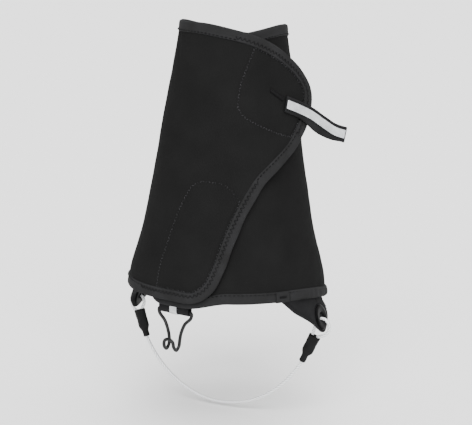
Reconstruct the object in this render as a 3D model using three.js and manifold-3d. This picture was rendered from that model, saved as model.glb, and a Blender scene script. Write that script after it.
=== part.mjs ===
// A short softshell gaiter for hiking and mountaineering boots, left leg.
// A tapered fabric tube wraps the ankle: an underlap goes round the outer side, and a front flap
// closes over it with hook-and-loop patches. A steel stirrup cable runs under the boot between two
// side tabs, and a wire lace hook hangs at the front of the hem.
// Millimetres, +Z up, toes towards -Y, origin on the leg's axis at hem level.
// Azimuths are in degrees about Z, from 0 at the front (-Y) through 90 at +X, the wearer's left.

import * as THREE from 'three';
import { mergeVertices } from 'three/addons/utils/BufferGeometryUtils.js';
import Module from 'manifold-3d';

const wasm = await Module();
wasm.setup();

// ---- Driving dimensions ----

// Body: a cone that swells a little above its gathered hem.
const bodyHeight = 198.5;
const topRadius = 35.6;
const hemRadius = 68.2;
const hemSwell = 3.7;
const hemSwellHeight = 15;
const hemSwellSpread = 24;

// Rims: how far each edge departs from level.
const hemFrontRise = 5.6;
const hemBackDrop = 5.5;
const underlapCornerDrop = 5;
const underlapTopDrop = 1.3;
const underlapFrontDip = 12;
const backScoop = 11.5;

// Cloth, tapes and the gaps between layers.
const fabric = 1;
const gap = 0.35;
const slotClearance = 0.35;
const foldClearance = 0.8;
const bindingWidth = 7.7;
const bindingWall = 0.6;
const patchThickness = 1;
const elasticThickness = 0.5;
const elasticWidth = 5;

// Plan: where the panels and fittings sit.
const hingeAzimuth = -31;
const hingeGap = 0.3;
const underlapEdgeAzimuth = -27;
const underlapCornerRadius = 12;
const leftRiseAzimuth = -95;
const flapLiftAzimuth = 66;
const flapLiftFlattening = 3;
const hemJoinAzimuth = 52;
const hemJoinSpan = 9.3;

// Side tabs and grommets.
const holeHeight = -12;
const tabTilt = 18;
const tabTipRadius = 10.5;
const tabSlope = 38;
const tabFlareEnd = 28;
const tabThickness = 1.4;
const tabTopHeight = 10;
const grommetRadius = 9.5;
const grommetHoleRadius = 3.2;
const grommetWall = 0.6;
const flangeThickness = 1.1;
const washerThickness = 0.8;

// Stirrup cable, crimp ferrules and heat-shrink sleeves.
const cableRadius = 1.15;
const ferruleLength = 10;
const sleeveTopWidth = 8.8;
const sleeveBottomWidth = 4.8;

// Lace hook.
const laceHookAzimuth = -11;
const wireRadius = 1.1;
const laceWebbingWidth = 26;
const laceWebbingThickness = 1.2;
const laceBarHeight = -3.7;
const laceWebbingTop = 14;
const hookDrop = 25.5;
const hookBend = 3.6;
const hookReach = 6.5;
const hookLegSpacing = 4.2;

// Pull tab.
const pullTabWidth = 11.8;
const pullTabThickness = 1.6;
const reflectorWidth = 6.2;
const reflectorThickness = 0.4;
const pullTabAzimuth = 71;
const pullTabHeight = 0.7194 * bodyHeight;

// ---- Materials ----

const cloth = (color, roughness) => new THREE.MeshStandardMaterial({ color, roughness, metalness: 0 });
const shellFabric = cloth(0x27272a, 0.85);
const bindingTape = cloth(0x363639, 0.8);
const hookTape = cloth(0x1c1c1e, 0.95);
const loopTape = cloth(0x242426, 1);
const webbing = cloth(0x202022, 0.8);
const seamTape = cloth(0x19191b, 0.6);
const elasticBand = cloth(0x222224, 0.9);
const thread = cloth(0x161618, 0.7);
const reflective = new THREE.MeshStandardMaterial({ color: 0xc4c6c8, roughness: 0.35, metalness: 0.3 });
const grommetMetal = new THREE.MeshStandardMaterial({ color: 0x18181a, roughness: 0.35, metalness: 0.7 });
const hookWire = new THREE.MeshStandardMaterial({ color: 0x1b1b1d, roughness: 0.45, metalness: 0.6 });
const coatedCable = new THREE.MeshStandardMaterial({ color: 0xdfe0e2, roughness: 0.3, metalness: 0.4 });
const crimpAlloy = new THREE.MeshStandardMaterial({ color: 0xb4b6b8, roughness: 0.4, metalness: 0.9 });
const heatShrink = cloth(0x1d1d1f, 0.55);

const gaiter = new THREE.Group();

function addPart(name, geometry, material) {
  const mesh = new THREE.Mesh(geometry, material);
  mesh.name = name;
  gaiter.add(mesh);
  return mesh;
}

// ---- The body's surface ----

const radians = THREE.MathUtils.degToRad;
const degrees = THREE.MathUtils.radToDeg;
const ease = (t) => THREE.MathUtils.smoothstep(t, 0, 1);

// Layer offsets outwards from the body's base surface, which is the underlap's inner face.
const underlapMid = fabric / 2;
const bindingHalf = fabric / 2 + slotClearance + bindingWall;
const loopInner = fabric + gap;
const hookInner = loopInner + patchThickness + gap;
const flapInner = hookInner + patchThickness + gap;
const flapMid = flapInner + fabric / 2;
const bindingFold = foldClearance + bindingWall;

function baseRadius(z) {
  const taper = (bodyHeight - z) / bodyHeight;
  const swell = Math.exp(-(((z - hemSwellHeight) / hemSwellSpread) ** 2));
  return topRadius + (hemRadius - topRadius) * taper + hemSwell * swell;
}

function outward(azimuth) {
  return new THREE.Vector3(Math.sin(radians(azimuth)), -Math.cos(radians(azimuth)), 0);
}

function around(azimuth) {
  return new THREE.Vector3(Math.cos(radians(azimuth)), Math.sin(radians(azimuth)), 0);
}

function bodyPoint(azimuth, z, offset) {
  return outward(azimuth).multiplyScalar(baseRadius(z) + offset).setZ(z);
}

// The left panel lies on the base surface at the back and rises over the closing layers in front.
function leftPoint(azimuth, z, offset) {
  const rise = ease((azimuth - leftRiseAzimuth) / (hingeAzimuth - leftRiseAzimuth));
  return bodyPoint(azimuth, z, offset + rise * (flapMid - underlapMid));
}

// The flap follows the cone, then flattens and leaves it beyond flapLiftAzimuth.
function flapPoint(azimuth, z, offset) {
  if (azimuth <= flapLiftAzimuth) return bodyPoint(azimuth, z, offset);
  const midRadius = baseRadius(z) + flapMid;
  const flatRadius = flapLiftFlattening * midRadius;
  const turn = degrees((radians(azimuth - flapLiftAzimuth) * midRadius) / flatRadius);
  const centre = outward(flapLiftAzimuth).multiplyScalar(midRadius - flatRadius);
  const reach = flatRadius + offset - flapMid;
  return centre.addScaledVector(outward(flapLiftAzimuth + turn), reach).setZ(z);
}

// ---- Rim lines: heights of the finished edges ----

function hemLine(azimuth) {
  const back = ease((Math.abs(azimuth) - 62) / 83);
  return THREE.MathUtils.lerp(hemFrontRise, -hemBackDrop, back);
}

function underlapHemLine(azimuth) {
  return hemLine(azimuth) - underlapCornerDrop * ease((25 - azimuth) / 25);
}

function leftTopLine(azimuth) {
  return bodyHeight - backScoop * ease((-66 - azimuth) / 114);
}

function underlapTopLine(azimuth) {
  const dip = underlapFrontDip * ease((90 - azimuth) / (90 - underlapEdgeAzimuth));
  const scoop = (backScoop - underlapTopDrop) * ease((azimuth - 100) / 80);
  return bodyHeight - underlapTopDrop - dip - scoop;
}

// The flap's finished edge, from the hinge along the top, round the lobe and down to the hem.
// Heights are shares of the body's height, apart from the hem's own line.
const flapEdgeShape = [
  [-6, 0.997], [20, 0.983], [40, 0.966], [58, 0.939], [80, 0.893], [98, 0.836], [107.5, 0.776],
  [107, 0.72], [96, 0.643], [80, 0.564], [62, 0.5], [48, 0.442], [37, 0.355], [28, 0.249],
  [21.5, 0.144], [15.5, 0.069],
];

function samples(points, count) {
  const curve = new THREE.CatmullRomCurve3(points.map(([a, z]) => new THREE.Vector3(a, z, 0)));
  return curve.getSpacedPoints(count).map((p) => [p.x, p.y]);
}

const flapEdgeSpacing = 1.24;
const flapEdge = samples(
  [
    [hingeAzimuth + hingeGap, leftTopLine(hingeAzimuth)],
    ...flapEdgeShape.map(([azimuth, share]) => [azimuth, share * bodyHeight]),
    [6, hemLine(0)],
    [-8, hemLine(0)],
    [hingeAzimuth + hingeGap, hemLine(0)],
  ],
  Math.round(bodyHeight / flapEdgeSpacing),
);

// ---- Edge paths on the surface: [azimuth, height] pairs, run clockwise seen from outside ----

// Adds to each path point the unit normal, in millimetres on the surface, that leaves the cloth.
function withNormals(path) {
  return path.map(([azimuth, z], i) => {
    const [a0, z0] = path[Math.max(i - 1, 0)];
    const [a1, z1] = path[Math.min(i + 1, path.length - 1)];
    const along = new THREE.Vector2(radians(a1 - a0) * baseRadius(z), z1 - z0).normalize();
    return [azimuth, z, -along.y, along.x];
  });
}

function stepOut([azimuth, z, nx, nz], distance) {
  return [azimuth + degrees((distance * nx) / baseRadius(z)), z + distance * nz];
}

function runAlong(from, to, step, line) {
  const count = Math.ceil(Math.abs(to - from) / step);
  return Array.from({ length: count + 1 }, (_, i) => {
    const azimuth = from + ((to - from) * i) / count;
    return [azimuth, line(azimuth)];
  });
}

// Height of a path that runs one way in azimuth, at a given azimuth.
function heightAt(path, azimuth) {
  const rising = path[0][0] < path[path.length - 1][0] ? path : [...path].reverse();
  const i = rising.findIndex(([a]) => a >= azimuth);
  if (i === -1) return rising[rising.length - 1][1];
  if (i === 0) return rising[0][1];
  const [a0, z0] = rising[i - 1];
  const [a1, z1] = rising[i];
  return THREE.MathUtils.lerp(z0, z1, (azimuth - a0) / (a1 - a0));
}

// The flap's edge moved into the cloth and split at its tip into an upper and a lower line.
function flapBounds(inset) {
  const moved = withNormals(flapEdge).map((point) => stepOut(point, -inset));
  const tip = moved.reduce((best, [a], i) => (a > moved[best][0] ? i : best), 0);
  return { upper: moved.slice(0, tip + 1), lower: moved.slice(tip), tip: moved[tip][0] };
}

// ---- Closed bodies ----

function geometryOf(points, triangles) {
  const volume = triangles.reduce((sum, [a, b, c]) => {
    return sum + points[a].dot(new THREE.Vector3().crossVectors(points[b], points[c]));
  }, 0);
  const outwards = volume > 0 ? triangles : triangles.map(([a, b, c]) => [a, c, b]);
  const geometry = new THREE.BufferGeometry();
  geometry.setAttribute('position', new THREE.Float32BufferAttribute(points.flatMap((p) => p.toArray()), 3));
  geometry.setIndex(outwards.flat());
  geometry.computeVertexNormals();
  return geometry;
}

// Heights from low to high; a crowding above 1 sets them closer together near the low end.
function heights(low, high, rows, crowding = 1) {
  return Array.from({ length: rows + 1 }, (_, j) => THREE.MathUtils.lerp(low, high, (j / rows) ** crowding));
}

// A sheet between two offsets, from columns of [azimuth, heights].
function sheet(columns, place, inner, outer) {
  const rows = columns[0][1].length - 1;
  const points = [outer, inner].flatMap((offset) => {
    return columns.flatMap(([azimuth, column]) => column.map((z) => place(azimuth, z, offset)));
  });
  const at = (side, i, j) => (side * columns.length + i) * (rows + 1) + j;
  const triangles = [];
  for (let i = 0; i < columns.length - 1; i++) {
    for (let j = 0; j < rows; j++) {
      const quad = [[i, j], [i + 1, j], [i + 1, j + 1], [i, j + 1]];
      const [a, b, c, d] = quad.map(([u, v]) => at(0, u, v));
      const [e, f, g, h] = quad.map(([u, v]) => at(1, u, v));
      triangles.push([a, b, c], [a, c, d], [e, g, f], [e, h, g]);
    }
  }
  const rim = [];
  for (let i = 0; i < columns.length - 1; i++) rim.push([i, 0]);
  for (let j = 0; j < rows; j++) rim.push([columns.length - 1, j]);
  for (let i = columns.length - 1; i > 0; i--) rim.push([i, rows]);
  for (let j = rows; j > 0; j--) rim.push([0, j]);
  rim.forEach(([i, j], k) => {
    const [i1, j1] = rim[(k + 1) % rim.length];
    const [p, q] = [at(0, i, j), at(0, i1, j1)];
    const [r, s] = [at(1, i, j), at(1, i1, j1)];
    triangles.push([q, p, r], [q, r, s]);
  });
  return geometryOf(points, triangles);
}

// A body through a run of equal rings, capped at both ends; the section is the rings' flat shape.
function loft(rings, section) {
  const size = section.length;
  const triangles = [];
  for (let i = 0; i < rings.length - 1; i++) {
    for (let j = 0; j < size; j++) {
      const k = (j + 1) % size;
      const [a, b] = [i * size + j, i * size + k];
      const [c, d] = [a + size, b + size];
      triangles.push([a, b, d], [a, d, c]);
    }
  }
  const flat = section.map(([x, y]) => new THREE.Vector2(x, y));
  const last = (rings.length - 1) * size;
  for (const [a, b, c] of THREE.ShapeUtils.triangulateShape(flat, [])) {
    triangles.push([a, c, b], [a + last, b + last, c + last]);
  }
  return geometryOf(rings.flat(), triangles);
}

// Folded binding along an edge path: a U section whose lips lie on both faces of the cloth.
function binding(path, place, mid, outerHalf = bindingHalf) {
  const slotOut = outerHalf - bindingWall;
  const slotIn = bindingHalf - bindingWall;
  const section = [
    [-bindingWidth, -bindingHalf], [0, -bindingHalf], [0, outerHalf], [-bindingWidth, outerHalf],
    [-bindingWidth, slotOut], [-bindingWall, slotOut], [-bindingWall, -slotIn], [-bindingWidth, -slotIn],
  ];
  return strip(path, place, mid, section);
}

// A section swept along an edge path. Section x runs out of the cloth, y runs off its face.
function strip(path, place, mid, section) {
  const rings = path.map((point) => section.map(([x, y]) => place(...stepOut(point, x), mid + y)));
  return loft(rings, section);
}

function circle(radius, sides) {
  return Array.from({ length: sides }, (_, i) => {
    const angle = (2 * Math.PI * (i + 0.5)) / sides;
    return [radius * Math.cos(angle), radius * Math.sin(angle)];
  });
}

// A smooth route whose steps are shared equally between its points, so tight bends get more.
class Route extends THREE.CatmullRomCurve3 {
  getPointAt(share, target) {
    return this.getPoint(share, target);
  }

  getTangentAt(share, target) {
    return this.getTangent(share, target);
  }
}

function tube(route, radius, stepsPerPoint) {
  const shape = new THREE.Shape(circle(radius, 8).map(([x, y]) => new THREE.Vector2(x, y)));
  const steps = (route.points.length - 1) * stepsPerPoint;
  return new THREE.ExtrudeGeometry(shape, { steps, extrudePath: route, bevelEnabled: false });
}

// ---- Cuts ----

function solid(geometry) {
  const bare = geometry.clone();
  bare.deleteAttribute('normal');
  bare.deleteAttribute('uv');
  const merged = mergeVertices(bare, 1e-4);
  const vertProperties = merged.attributes.position.array;
  const triVerts = new Uint32Array(merged.index.array);
  return new wasm.Manifold(new wasm.Mesh({ numProp: 3, vertProperties, triVerts }));
}

function cut(geometry, ...cutters) {
  const left = cutters.reduce((body, cutter) => body.subtract(solid(cutter)), solid(geometry));
  const mesh = left.getMesh();
  const result = new THREE.BufferGeometry();
  result.setAttribute('position', new THREE.BufferAttribute(new Float32Array(mesh.vertProperties), 3));
  result.setIndex(new THREE.BufferAttribute(new Uint32Array(mesh.triVerts), 1));
  result.computeVertexNormals();
  return result;
}

// ---- Panels ----

function evenly(from, to, count) {
  return Array.from({ length: count + 1 }, (_, i) => THREE.MathUtils.lerp(from, to, i / count));
}

const rowSpacing = 15.3;
const panelRows = Math.ceil(bodyHeight / rowSpacing);
const panelCrowding = 1.6;

function panelColumn(azimuth, low, high) {
  return [azimuth, heights(low + bindingFold, high - bindingFold, panelRows, panelCrowding)];
}

function leftPanel() {
  const columns = evenly(-180 + hingeGap, hingeAzimuth - hingeGap, 24).map((azimuth) => {
    return panelColumn(azimuth, hemLine(azimuth), leftTopLine(azimuth));
  });
  return sheet(columns, leftPoint, 0, fabric);
}

function flapPanel() {
  const { upper, lower } = flapBounds(bindingFold);
  const stations = [...lower].reverse().filter((_, i) => i % 3 === 0 && i < lower.length - 1);
  const columns = stations.map(([azimuth, low]) => {
    return [azimuth, heights(low, heightAt(upper, azimuth), panelRows, panelCrowding)];
  });
  return sheet(columns, flapPoint, flapInner, flapInner + fabric);
}

// How far a rounded corner takes the underlap's rim from its line, near the free edge.
function cornerCut(azimuth, line) {
  const radius = underlapCornerRadius - bindingFold;
  const fromEdge = radians(azimuth - underlapClothEdge) * baseRadius(line);
  const within = Math.max(radius - fromEdge, 0);
  return radius - Math.sqrt(radius ** 2 - Math.min(within, radius) ** 2);
}

const underlapClothEdge = underlapEdgeAzimuth + degrees(bindingFold / topRadius);

function underlapPanel() {
  const cornerSpan = degrees(underlapCornerRadius / topRadius);
  const corner = evenly(0, 1, 6).map((share) => underlapClothEdge + cornerSpan * share ** 1.6);
  const rest = evenly(underlapClothEdge + cornerSpan, 180 - hingeGap, 28).slice(1);
  const columns = [...corner, ...rest].map((azimuth) => {
    const low = underlapHemLine(azimuth);
    const high = underlapTopLine(azimuth);
    return panelColumn(azimuth, low + cornerCut(azimuth, low), high - cornerCut(azimuth, high));
  });
  return sheet(columns, bodyPoint, 0, fabric);
}

function backSeamTape() {
  const halfSpan = 8;
  const columns = evenly(180 - halfSpan, 180 + halfSpan, 4).map((azimuth) => {
    const low = hemLine(180) + bindingWidth + gap;
    const high = bodyHeight - backScoop - bindingWidth - 2;
    return [azimuth, heights(low, high, panelRows, panelCrowding)];
  });
  return sheet(columns, bodyPoint, -gap - 0.6, -gap);
}

addPart('left_panel', leftPanel(), shellFabric);
addPart('flap_panel', flapPanel(), shellFabric);
addPart('underlap_panel', underlapPanel(), shellFabric);
addPart('back_seam_tape', backSeamTape(), seamTape);

// ---- Bindings ----

const edgeStep = 5;
const leftTopPath = runAlong(-180 + hingeGap, hingeAzimuth - hingeGap, edgeStep * 1.6, leftTopLine);
const leftHemPath = runAlong(hingeAzimuth - hingeGap, -180 + hingeGap, edgeStep, hemLine);
addPart('top_binding_left', binding(withNormals(leftTopPath), leftPoint, underlapMid), bindingTape);
addPart('hem_binding_left', binding(withNormals(leftHemPath), leftPoint, underlapMid), bindingTape);

// The flap's binding is in two lengths that butt on the lower side of the lobe.
function flapBindings() {
  const path = withNormals(flapEdge).filter((_, i) => i % 2 === 0);
  const joint = path.findIndex(([azimuth, z]) => azimuth < 87 && z < bodyHeight * 0.62);
  const start = stepAlong(path[joint], path[joint + 1], gap);
  return [path.slice(0, joint + 1), [start, ...path.slice(joint + 1)]];
}

const [flapUpperPath, flapLowerPath] = flapBindings();
addPart('flap_binding_upper', binding(flapUpperPath, flapPoint, flapMid), bindingTape);
addPart('flap_binding_lower', binding(flapLowerPath, flapPoint, flapMid), bindingTape);

// Rounded corner of the underlap's free edge, as an arc from one direction to another.
function cornerArc(level, centreHeight, from, to) {
  const radius = underlapCornerRadius;
  const centre = underlapEdgeAzimuth + degrees(radius / baseRadius(level));
  return evenly(from, to, 6).map((angle) => [
    centre + degrees((radius * Math.cos(radians(angle))) / baseRadius(level)),
    centreHeight + radius * Math.sin(radians(angle)),
  ]);
}

const hemJoinEnd = hemJoinAzimuth + hemJoinSpan;
const lowCorner = underlapHemLine(underlapEdgeAzimuth);
const topCornerAzimuth = underlapEdgeAzimuth + degrees(underlapCornerRadius / topRadius);
const topCorner = underlapTopLine(topCornerAzimuth);
const lowCornerAzimuth = underlapEdgeAzimuth + degrees(underlapCornerRadius / hemRadius);

const underlapPath = withNormals([
  ...runAlong(hemJoinEnd, lowCornerAzimuth + 1, edgeStep, underlapHemLine),
  ...cornerArc(lowCorner, lowCorner + underlapCornerRadius, -90, -180),
  ...evenly(lowCorner + underlapCornerRadius, topCorner - underlapCornerRadius, 18)
    .slice(1, -1)
    .map((z) => [underlapEdgeAzimuth, z]),
  ...cornerArc(topCorner, topCorner - underlapCornerRadius, 180, 90),
  ...runAlong(topCornerAzimuth + 2, 180 - hingeGap, edgeStep * 1.6, underlapTopLine),
]);
const topSplit = underlapPath.findIndex(([azimuth, z]) => azimuth > 10 && z > bodyHeight / 2);
const underlapTopPath = [stepAlong(underlapPath[topSplit], underlapPath[topSplit + 1], gap)]
  .concat(underlapPath.slice(topSplit + 1));

// The point a given distance from one path point towards the next, with the first one's normal.
function stepAlong([a0, z0, ...normal], [a1, z1], distance) {
  const share = distance / Math.hypot(radians(a1 - a0) * baseRadius(z0), z1 - z0);
  return [THREE.MathUtils.lerp(a0, a1, share), THREE.MathUtils.lerp(z0, z1, share), ...normal];
}

const underlapEdgePath = underlapPath.slice(0, topSplit + 1);
addPart('underlap_edge_binding', binding(underlapEdgePath, bodyPoint, underlapMid), bindingTape);
addPart('underlap_top_binding', binding(underlapTopPath, bodyPoint, underlapMid), bindingTape);

// ---- Gathered hem: a channel that holds an elastic band, joined to the binding under a stitched strip ----

const channelSlot = fabric / 2 + gap + elasticThickness + slotClearance;
const channelHalf = channelSlot + bindingWall;
const channelPath = runAlong(180 - hingeGap, hemJoinEnd + hingeGap, edgeStep, underlapHemLine);
addPart('hem_channel', binding(withNormals(channelPath), bodyPoint, underlapMid, channelHalf), bindingTape);

function hemElastic() {
  const columns = evenly(hemJoinEnd + 2, 178, 24).map((azimuth) => {
    const low = underlapHemLine(azimuth) + bindingFold;
    return [azimuth, heights(low, low + elasticWidth, 1)];
  });
  return sheet(columns, bodyPoint, fabric + gap, fabric + gap + elasticThickness);
}

function hemJoinStrip() {
  const columns = evenly(hemJoinAzimuth, hemJoinEnd - 0.5, 3).map((azimuth) => {
    const low = underlapHemLine(azimuth);
    return [azimuth, heights(low + 0.2, low + bindingWidth - 0.2, 2)];
  });
  const inner = underlapMid + bindingHalf + slotClearance;
  return sheet(columns, bodyPoint, inner, inner + 0.5);
}

function hemBartack() {
  const columns = evenly(hemJoinAzimuth + 2.5, hemJoinEnd - 2, 3).map((azimuth) => {
    const middle = underlapHemLine(azimuth) + bindingWidth / 2;
    return [azimuth, heights(middle - 0.9, middle + 0.9, 1)];
  });
  const inner = underlapMid + bindingHalf + slotClearance + 0.5 + slotClearance;
  return sheet(columns, bodyPoint, inner, inner + 0.7);
}

addPart('hem_elastic', hemElastic(), elasticBand);
addPart('hem_join_strip', hemJoinStrip(), bindingTape);
addPart('hem_bartack', hemBartack(), thread);

// ---- Hook-and-loop patches ----

// Free boundaries of the two hook patches; elsewhere they stop at the flap's binding.
// Azimuths with shares of the body's height.
const upperPatchTop = [[28.2, 0.727], [30.5, 0.79], [34, 0.831], [40.5, 0.89], [46, 0.94]];
const upperPatchBottom = [[28.2, 0.712], [32.3, 0.683], [47.5, 0.644], [65.2, 0.613], [85, 0.59]];
const lowerPatchTop = [
  [-19, 0.16], [-13.3, 0.31], [-6.9, 0.398], [-3, 0.432], [4.9, 0.45], [11.3, 0.448], [21, 0.437],
  [29.8, 0.393], [38, 0.33],
];

const patchRows = 8;
const lowerPatchStep = 15.9;
const boundary = (shape) => samples(shape.map(([azimuth, share]) => [azimuth, share * bodyHeight]), 40);
const upperTop = boundary(upperPatchTop);
const upperBottom = boundary(upperPatchBottom);
const lowerTop = boundary(lowerPatchTop);

// Columns from a start azimuth to where the two lines meet.
function patchColumns(from, limit, low, high, count) {
  const open = evenly(from, limit, 200).filter((azimuth) => high(azimuth) - low(azimuth) > 2);
  const to = open[open.length - 1];
  return evenly(from, to, count).map((azimuth) => [azimuth, heights(low(azimuth), high(azimuth), patchRows)]);
}

function upperPatch(extraInset, place, inner, ceiling) {
  const { upper, lower, tip } = flapBounds(bindingWidth + gap + extraInset);
  const last = upperTop[upperTop.length - 1][0];
  const high = (azimuth) => {
    const free = azimuth < last ? heightAt(upperTop, azimuth) : Infinity;
    return Math.min(heightAt(upper, azimuth), free, ceiling(azimuth));
  };
  const low = (azimuth) => Math.max(heightAt(lower, azimuth), heightAt(upperBottom, azimuth));
  const columns = patchColumns(upperTop[0][0] + extraInset, tip - 0.3, low, high, 14);
  return sheet(columns, place, inner, inner + patchThickness);
}

function lowerPatch(extraInset, place, inner) {
  const { lower } = flapBounds(bindingWidth + gap + extraInset);
  const low = (azimuth) => heightAt(lower, azimuth);
  const high = (azimuth) => heightAt(lowerTop, azimuth) - extraInset;
  const count = Math.round(bodyHeight / lowerPatchStep);
  const columns = patchColumns(lowerTop[0][0] + extraInset, 60, low, high, count);
  return sheet(columns, place, inner, inner + patchThickness);
}

const loopInset = 1.5;
const underlapCeiling = (azimuth) => underlapTopLine(azimuth) - bindingWidth - gap;
addPart('hook_patch_upper', upperPatch(0, flapPoint, hookInner, () => Infinity), hookTape);
addPart('hook_patch_lower', lowerPatch(0, flapPoint, hookInner), hookTape);
addPart('loop_patch_upper', upperPatch(loopInset, bodyPoint, loopInner, underlapCeiling), loopTape);
addPart('loop_patch_lower', lowerPatch(loopInset, bodyPoint, loopInner), loopTape);

// ---- Side tabs: coated fabric hung from inside the hem, each with a metal grommet at its tip ----

const tabMid = underlapMid - bindingHalf - gap - tabThickness / 2;
const tabFlare = Math.tan(radians(tabTilt));
const tabRadius = baseRadius(hemLine(90)) + tabMid;

// A point of the right tab at a distance u behind the hole. It follows the wall down to the hem,
// then flares out and flattens into the grommet's seat.
function tabPoint(u, z, offset) {
  const azimuth = 90 + degrees(u / tabRadius);
  const bend = hemLine(azimuth) - gap;
  const curved = bodyPoint(azimuth, Math.max(z, bend), tabMid + offset);
  const middleShare = ease((tabFlareEnd - Math.abs(u)) / (tabFlareEnd - tabTipRadius));
  curved.x += Math.max(bend - z, 0) * tabFlare * middleShare;
  const drop = hemLine(90) - gap - z;
  const flat = new THREE.Vector3(tabRadius + drop * tabFlare + offset / Math.cos(radians(tabTilt)), u, 0);
  return curved.lerp(flat, middleShare * ease((bend - z) / 7)).setZ(z);
}

// Lower edge of a tab: straight sides that run into a round tip.
function tabEdge(u) {
  const tangentU = tabTipRadius * Math.sin(radians(tabSlope));
  const tangentZ = holeHeight - tabTipRadius * Math.cos(radians(tabSlope));
  const beyond = Math.abs(u) - tangentU;
  if (beyond > 0) return tangentZ + beyond * Math.tan(radians(tabSlope));
  return holeHeight - Math.sqrt(tabTipRadius ** 2 - u ** 2);
}

const tabHalfWidth = 41;
const tabHole = new THREE.Vector3(tabRadius + (hemLine(90) - gap - holeHeight) * tabFlare, 0, holeHeight);
const tabNormal = new THREE.Vector3(Math.cos(radians(tabTilt)), 0, Math.sin(radians(tabTilt)));

function tabColumn(u) {
  const low = tabEdge(u);
  const bend = hemLine(90 + degrees(u / tabRadius)) - gap;
  const middle = low < bend - 1 ? bend : THREE.MathUtils.lerp(low, tabTopHeight, 0.6);
  return [u, [...heights(low, middle, 4), ...heights(middle, tabTopHeight, 2).slice(1)]];
}

function sideTab() {
  const columns = evenly(-1, 1, 16).map((share) => tabColumn(tabHalfWidth * share * Math.abs(share) ** 0.4));
  const body = sheet(columns, tabPoint, -tabThickness / 2, tabThickness / 2);
  const punch = new THREE.CylinderGeometry(1, 1, 10, 24);
  const punchRadius = grommetHoleRadius + grommetWall + gap;
  punch.scale(punchRadius, 1, punchRadius);
  punch.applyQuaternion(new THREE.Quaternion().setFromUnitVectors(new THREE.Vector3(0, 1, 0), tabNormal));
  punch.translate(tabHole.x, tabHole.y, tabHole.z);
  return cut(body, punch);
}

// Grommet profiles: [radius, distance from the tab's middle layer].
const seat = tabThickness / 2 + gap;
const barrelRadius = grommetHoleRadius + grommetWall;
const face = seat + flangeThickness;
const barrelEnd = -(seat + washerThickness + gap);
const grommetProfile = [
  [grommetHoleRadius, barrelEnd], [barrelRadius, barrelEnd], [barrelRadius, seat],
  [grommetRadius - 0.3, seat], [grommetRadius, seat + 0.3], [grommetRadius - 0.5, face - 0.2],
  [grommetRadius - 2, face], [grommetHoleRadius + 1, face], [grommetHoleRadius, face - 0.6],
];
const washerProfile = [
  [barrelRadius + 0.2, -seat], [grommetRadius - 0.8, -seat],
  [grommetRadius - 0.8, -seat - washerThickness], [barrelRadius + 0.2, -seat - washerThickness],
];

function turned(profile) {
  const closed = [...profile, profile[0]].map(([x, y]) => new THREE.Vector2(x, y));
  const geometry = new THREE.LatheGeometry(closed, 24);
  return solid(geometry).volume() > 0 ? geometry : new THREE.LatheGeometry(closed.reverse(), 24);
}

function mirrored(geometry) {
  const copy = geometry.index ? geometry.toNonIndexed() : geometry.clone();
  const position = copy.getAttribute('position');
  for (let i = 0; i < position.count; i += 3) {
    const corner = [0, 2, 1].map((k) => new THREE.Vector3().fromBufferAttribute(position, i + k));
    corner.forEach((p, k) => position.setXYZ(i + k, -p.x, p.y, p.z));
  }
  copy.computeVertexNormals();
  return copy;
}

function seated(geometry) {
  const copy = geometry.clone();
  copy.applyQuaternion(new THREE.Quaternion().setFromUnitVectors(new THREE.Vector3(0, 1, 0), tabNormal));
  copy.translate(tabHole.x, tabHole.y, tabHole.z);
  return copy;
}

const tabGeometry = sideTab();
const grommetFace = seated(turned(grommetProfile));
const grommetWasher = seated(turned(washerProfile));
addPart('side_tab_right', tabGeometry, webbing);
addPart('side_tab_left', mirrored(tabGeometry), webbing);
addPart('grommet_face_right', grommetFace, grommetMetal);
addPart('grommet_face_left', mirrored(grommetFace), grommetMetal);
addPart('grommet_washer_right', grommetWasher, grommetMetal);
addPart('grommet_washer_left', mirrored(grommetWasher), grommetMetal);

// ---- Stirrup: one cable in the plane y = 0, with an eye through each grommet ----

// Route as [x, z], from the right tail through its eye, under the boot and through the left eye.
const cableRoute = [
  [65.3, -39.5], [69.6, -30.5], [72.3, -27.1], [77.6, -24.9], [80.7, -21], [80.2, -16], [77.2, -13.1],
  [73.7, -13], [70.7, -15], [69.7, -19.5], [68.4, -24.6], [67.1, -29.3], [63.2, -38.5],
  [60.6, -46.5], [56.3, -53.4], [46.6, -65], [36.5, -73.7], [22, -81.8], [0, -86.6], [-20, -84.8],
  [-38.5, -76.5], [-52, -65.6], [-61, -54.7], [-67, -44.5], [-68.6, -37.2], [-71.2, -27.9],
  [-71.6, -23.5], [-69.8, -19.2], [-70.7, -15], [-73.7, -13], [-77.2, -13.1], [-80.2, -16],
  [-80.5, -20.5], [-78.6, -24], [-75.4, -26.2], [-73.9, -28.6], [-70.8, -37.9],
];
// Each sleeve's axis, from its top centre to its bottom centre.
const sleeveAxes = { right: [[70.1, -26.3], [60.6, -46.5]], left: [[-73.8, -24.4], [-67, -44.5]] };

const inCablePlane = ([x, z]) => new THREE.Vector3(x, 0, z);

// The cable's room in the sleeves: its two tails and its main strand, each a little thick and long.
function cableRooms() {
  const strands = [cableRoute.slice(0, 10), cableRoute.slice(7, 30), cableRoute.slice(27)];
  return strands.map((strand) => {
    const points = strand.map(inCablePlane);
    const stretch = (end, next) => end.addScaledVector(end.clone().sub(next).normalize(), gap);
    stretch(points[0], points[1]);
    stretch(points[points.length - 1], points[points.length - 2]);
    return tube(new Route(points), cableRadius + gap, 2);
  });
}

function oval(halfWidth, halfDepth, sides = 16) {
  return circle(1, sides).map(([x, y]) => [x * halfWidth, y * halfDepth]);
}

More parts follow.
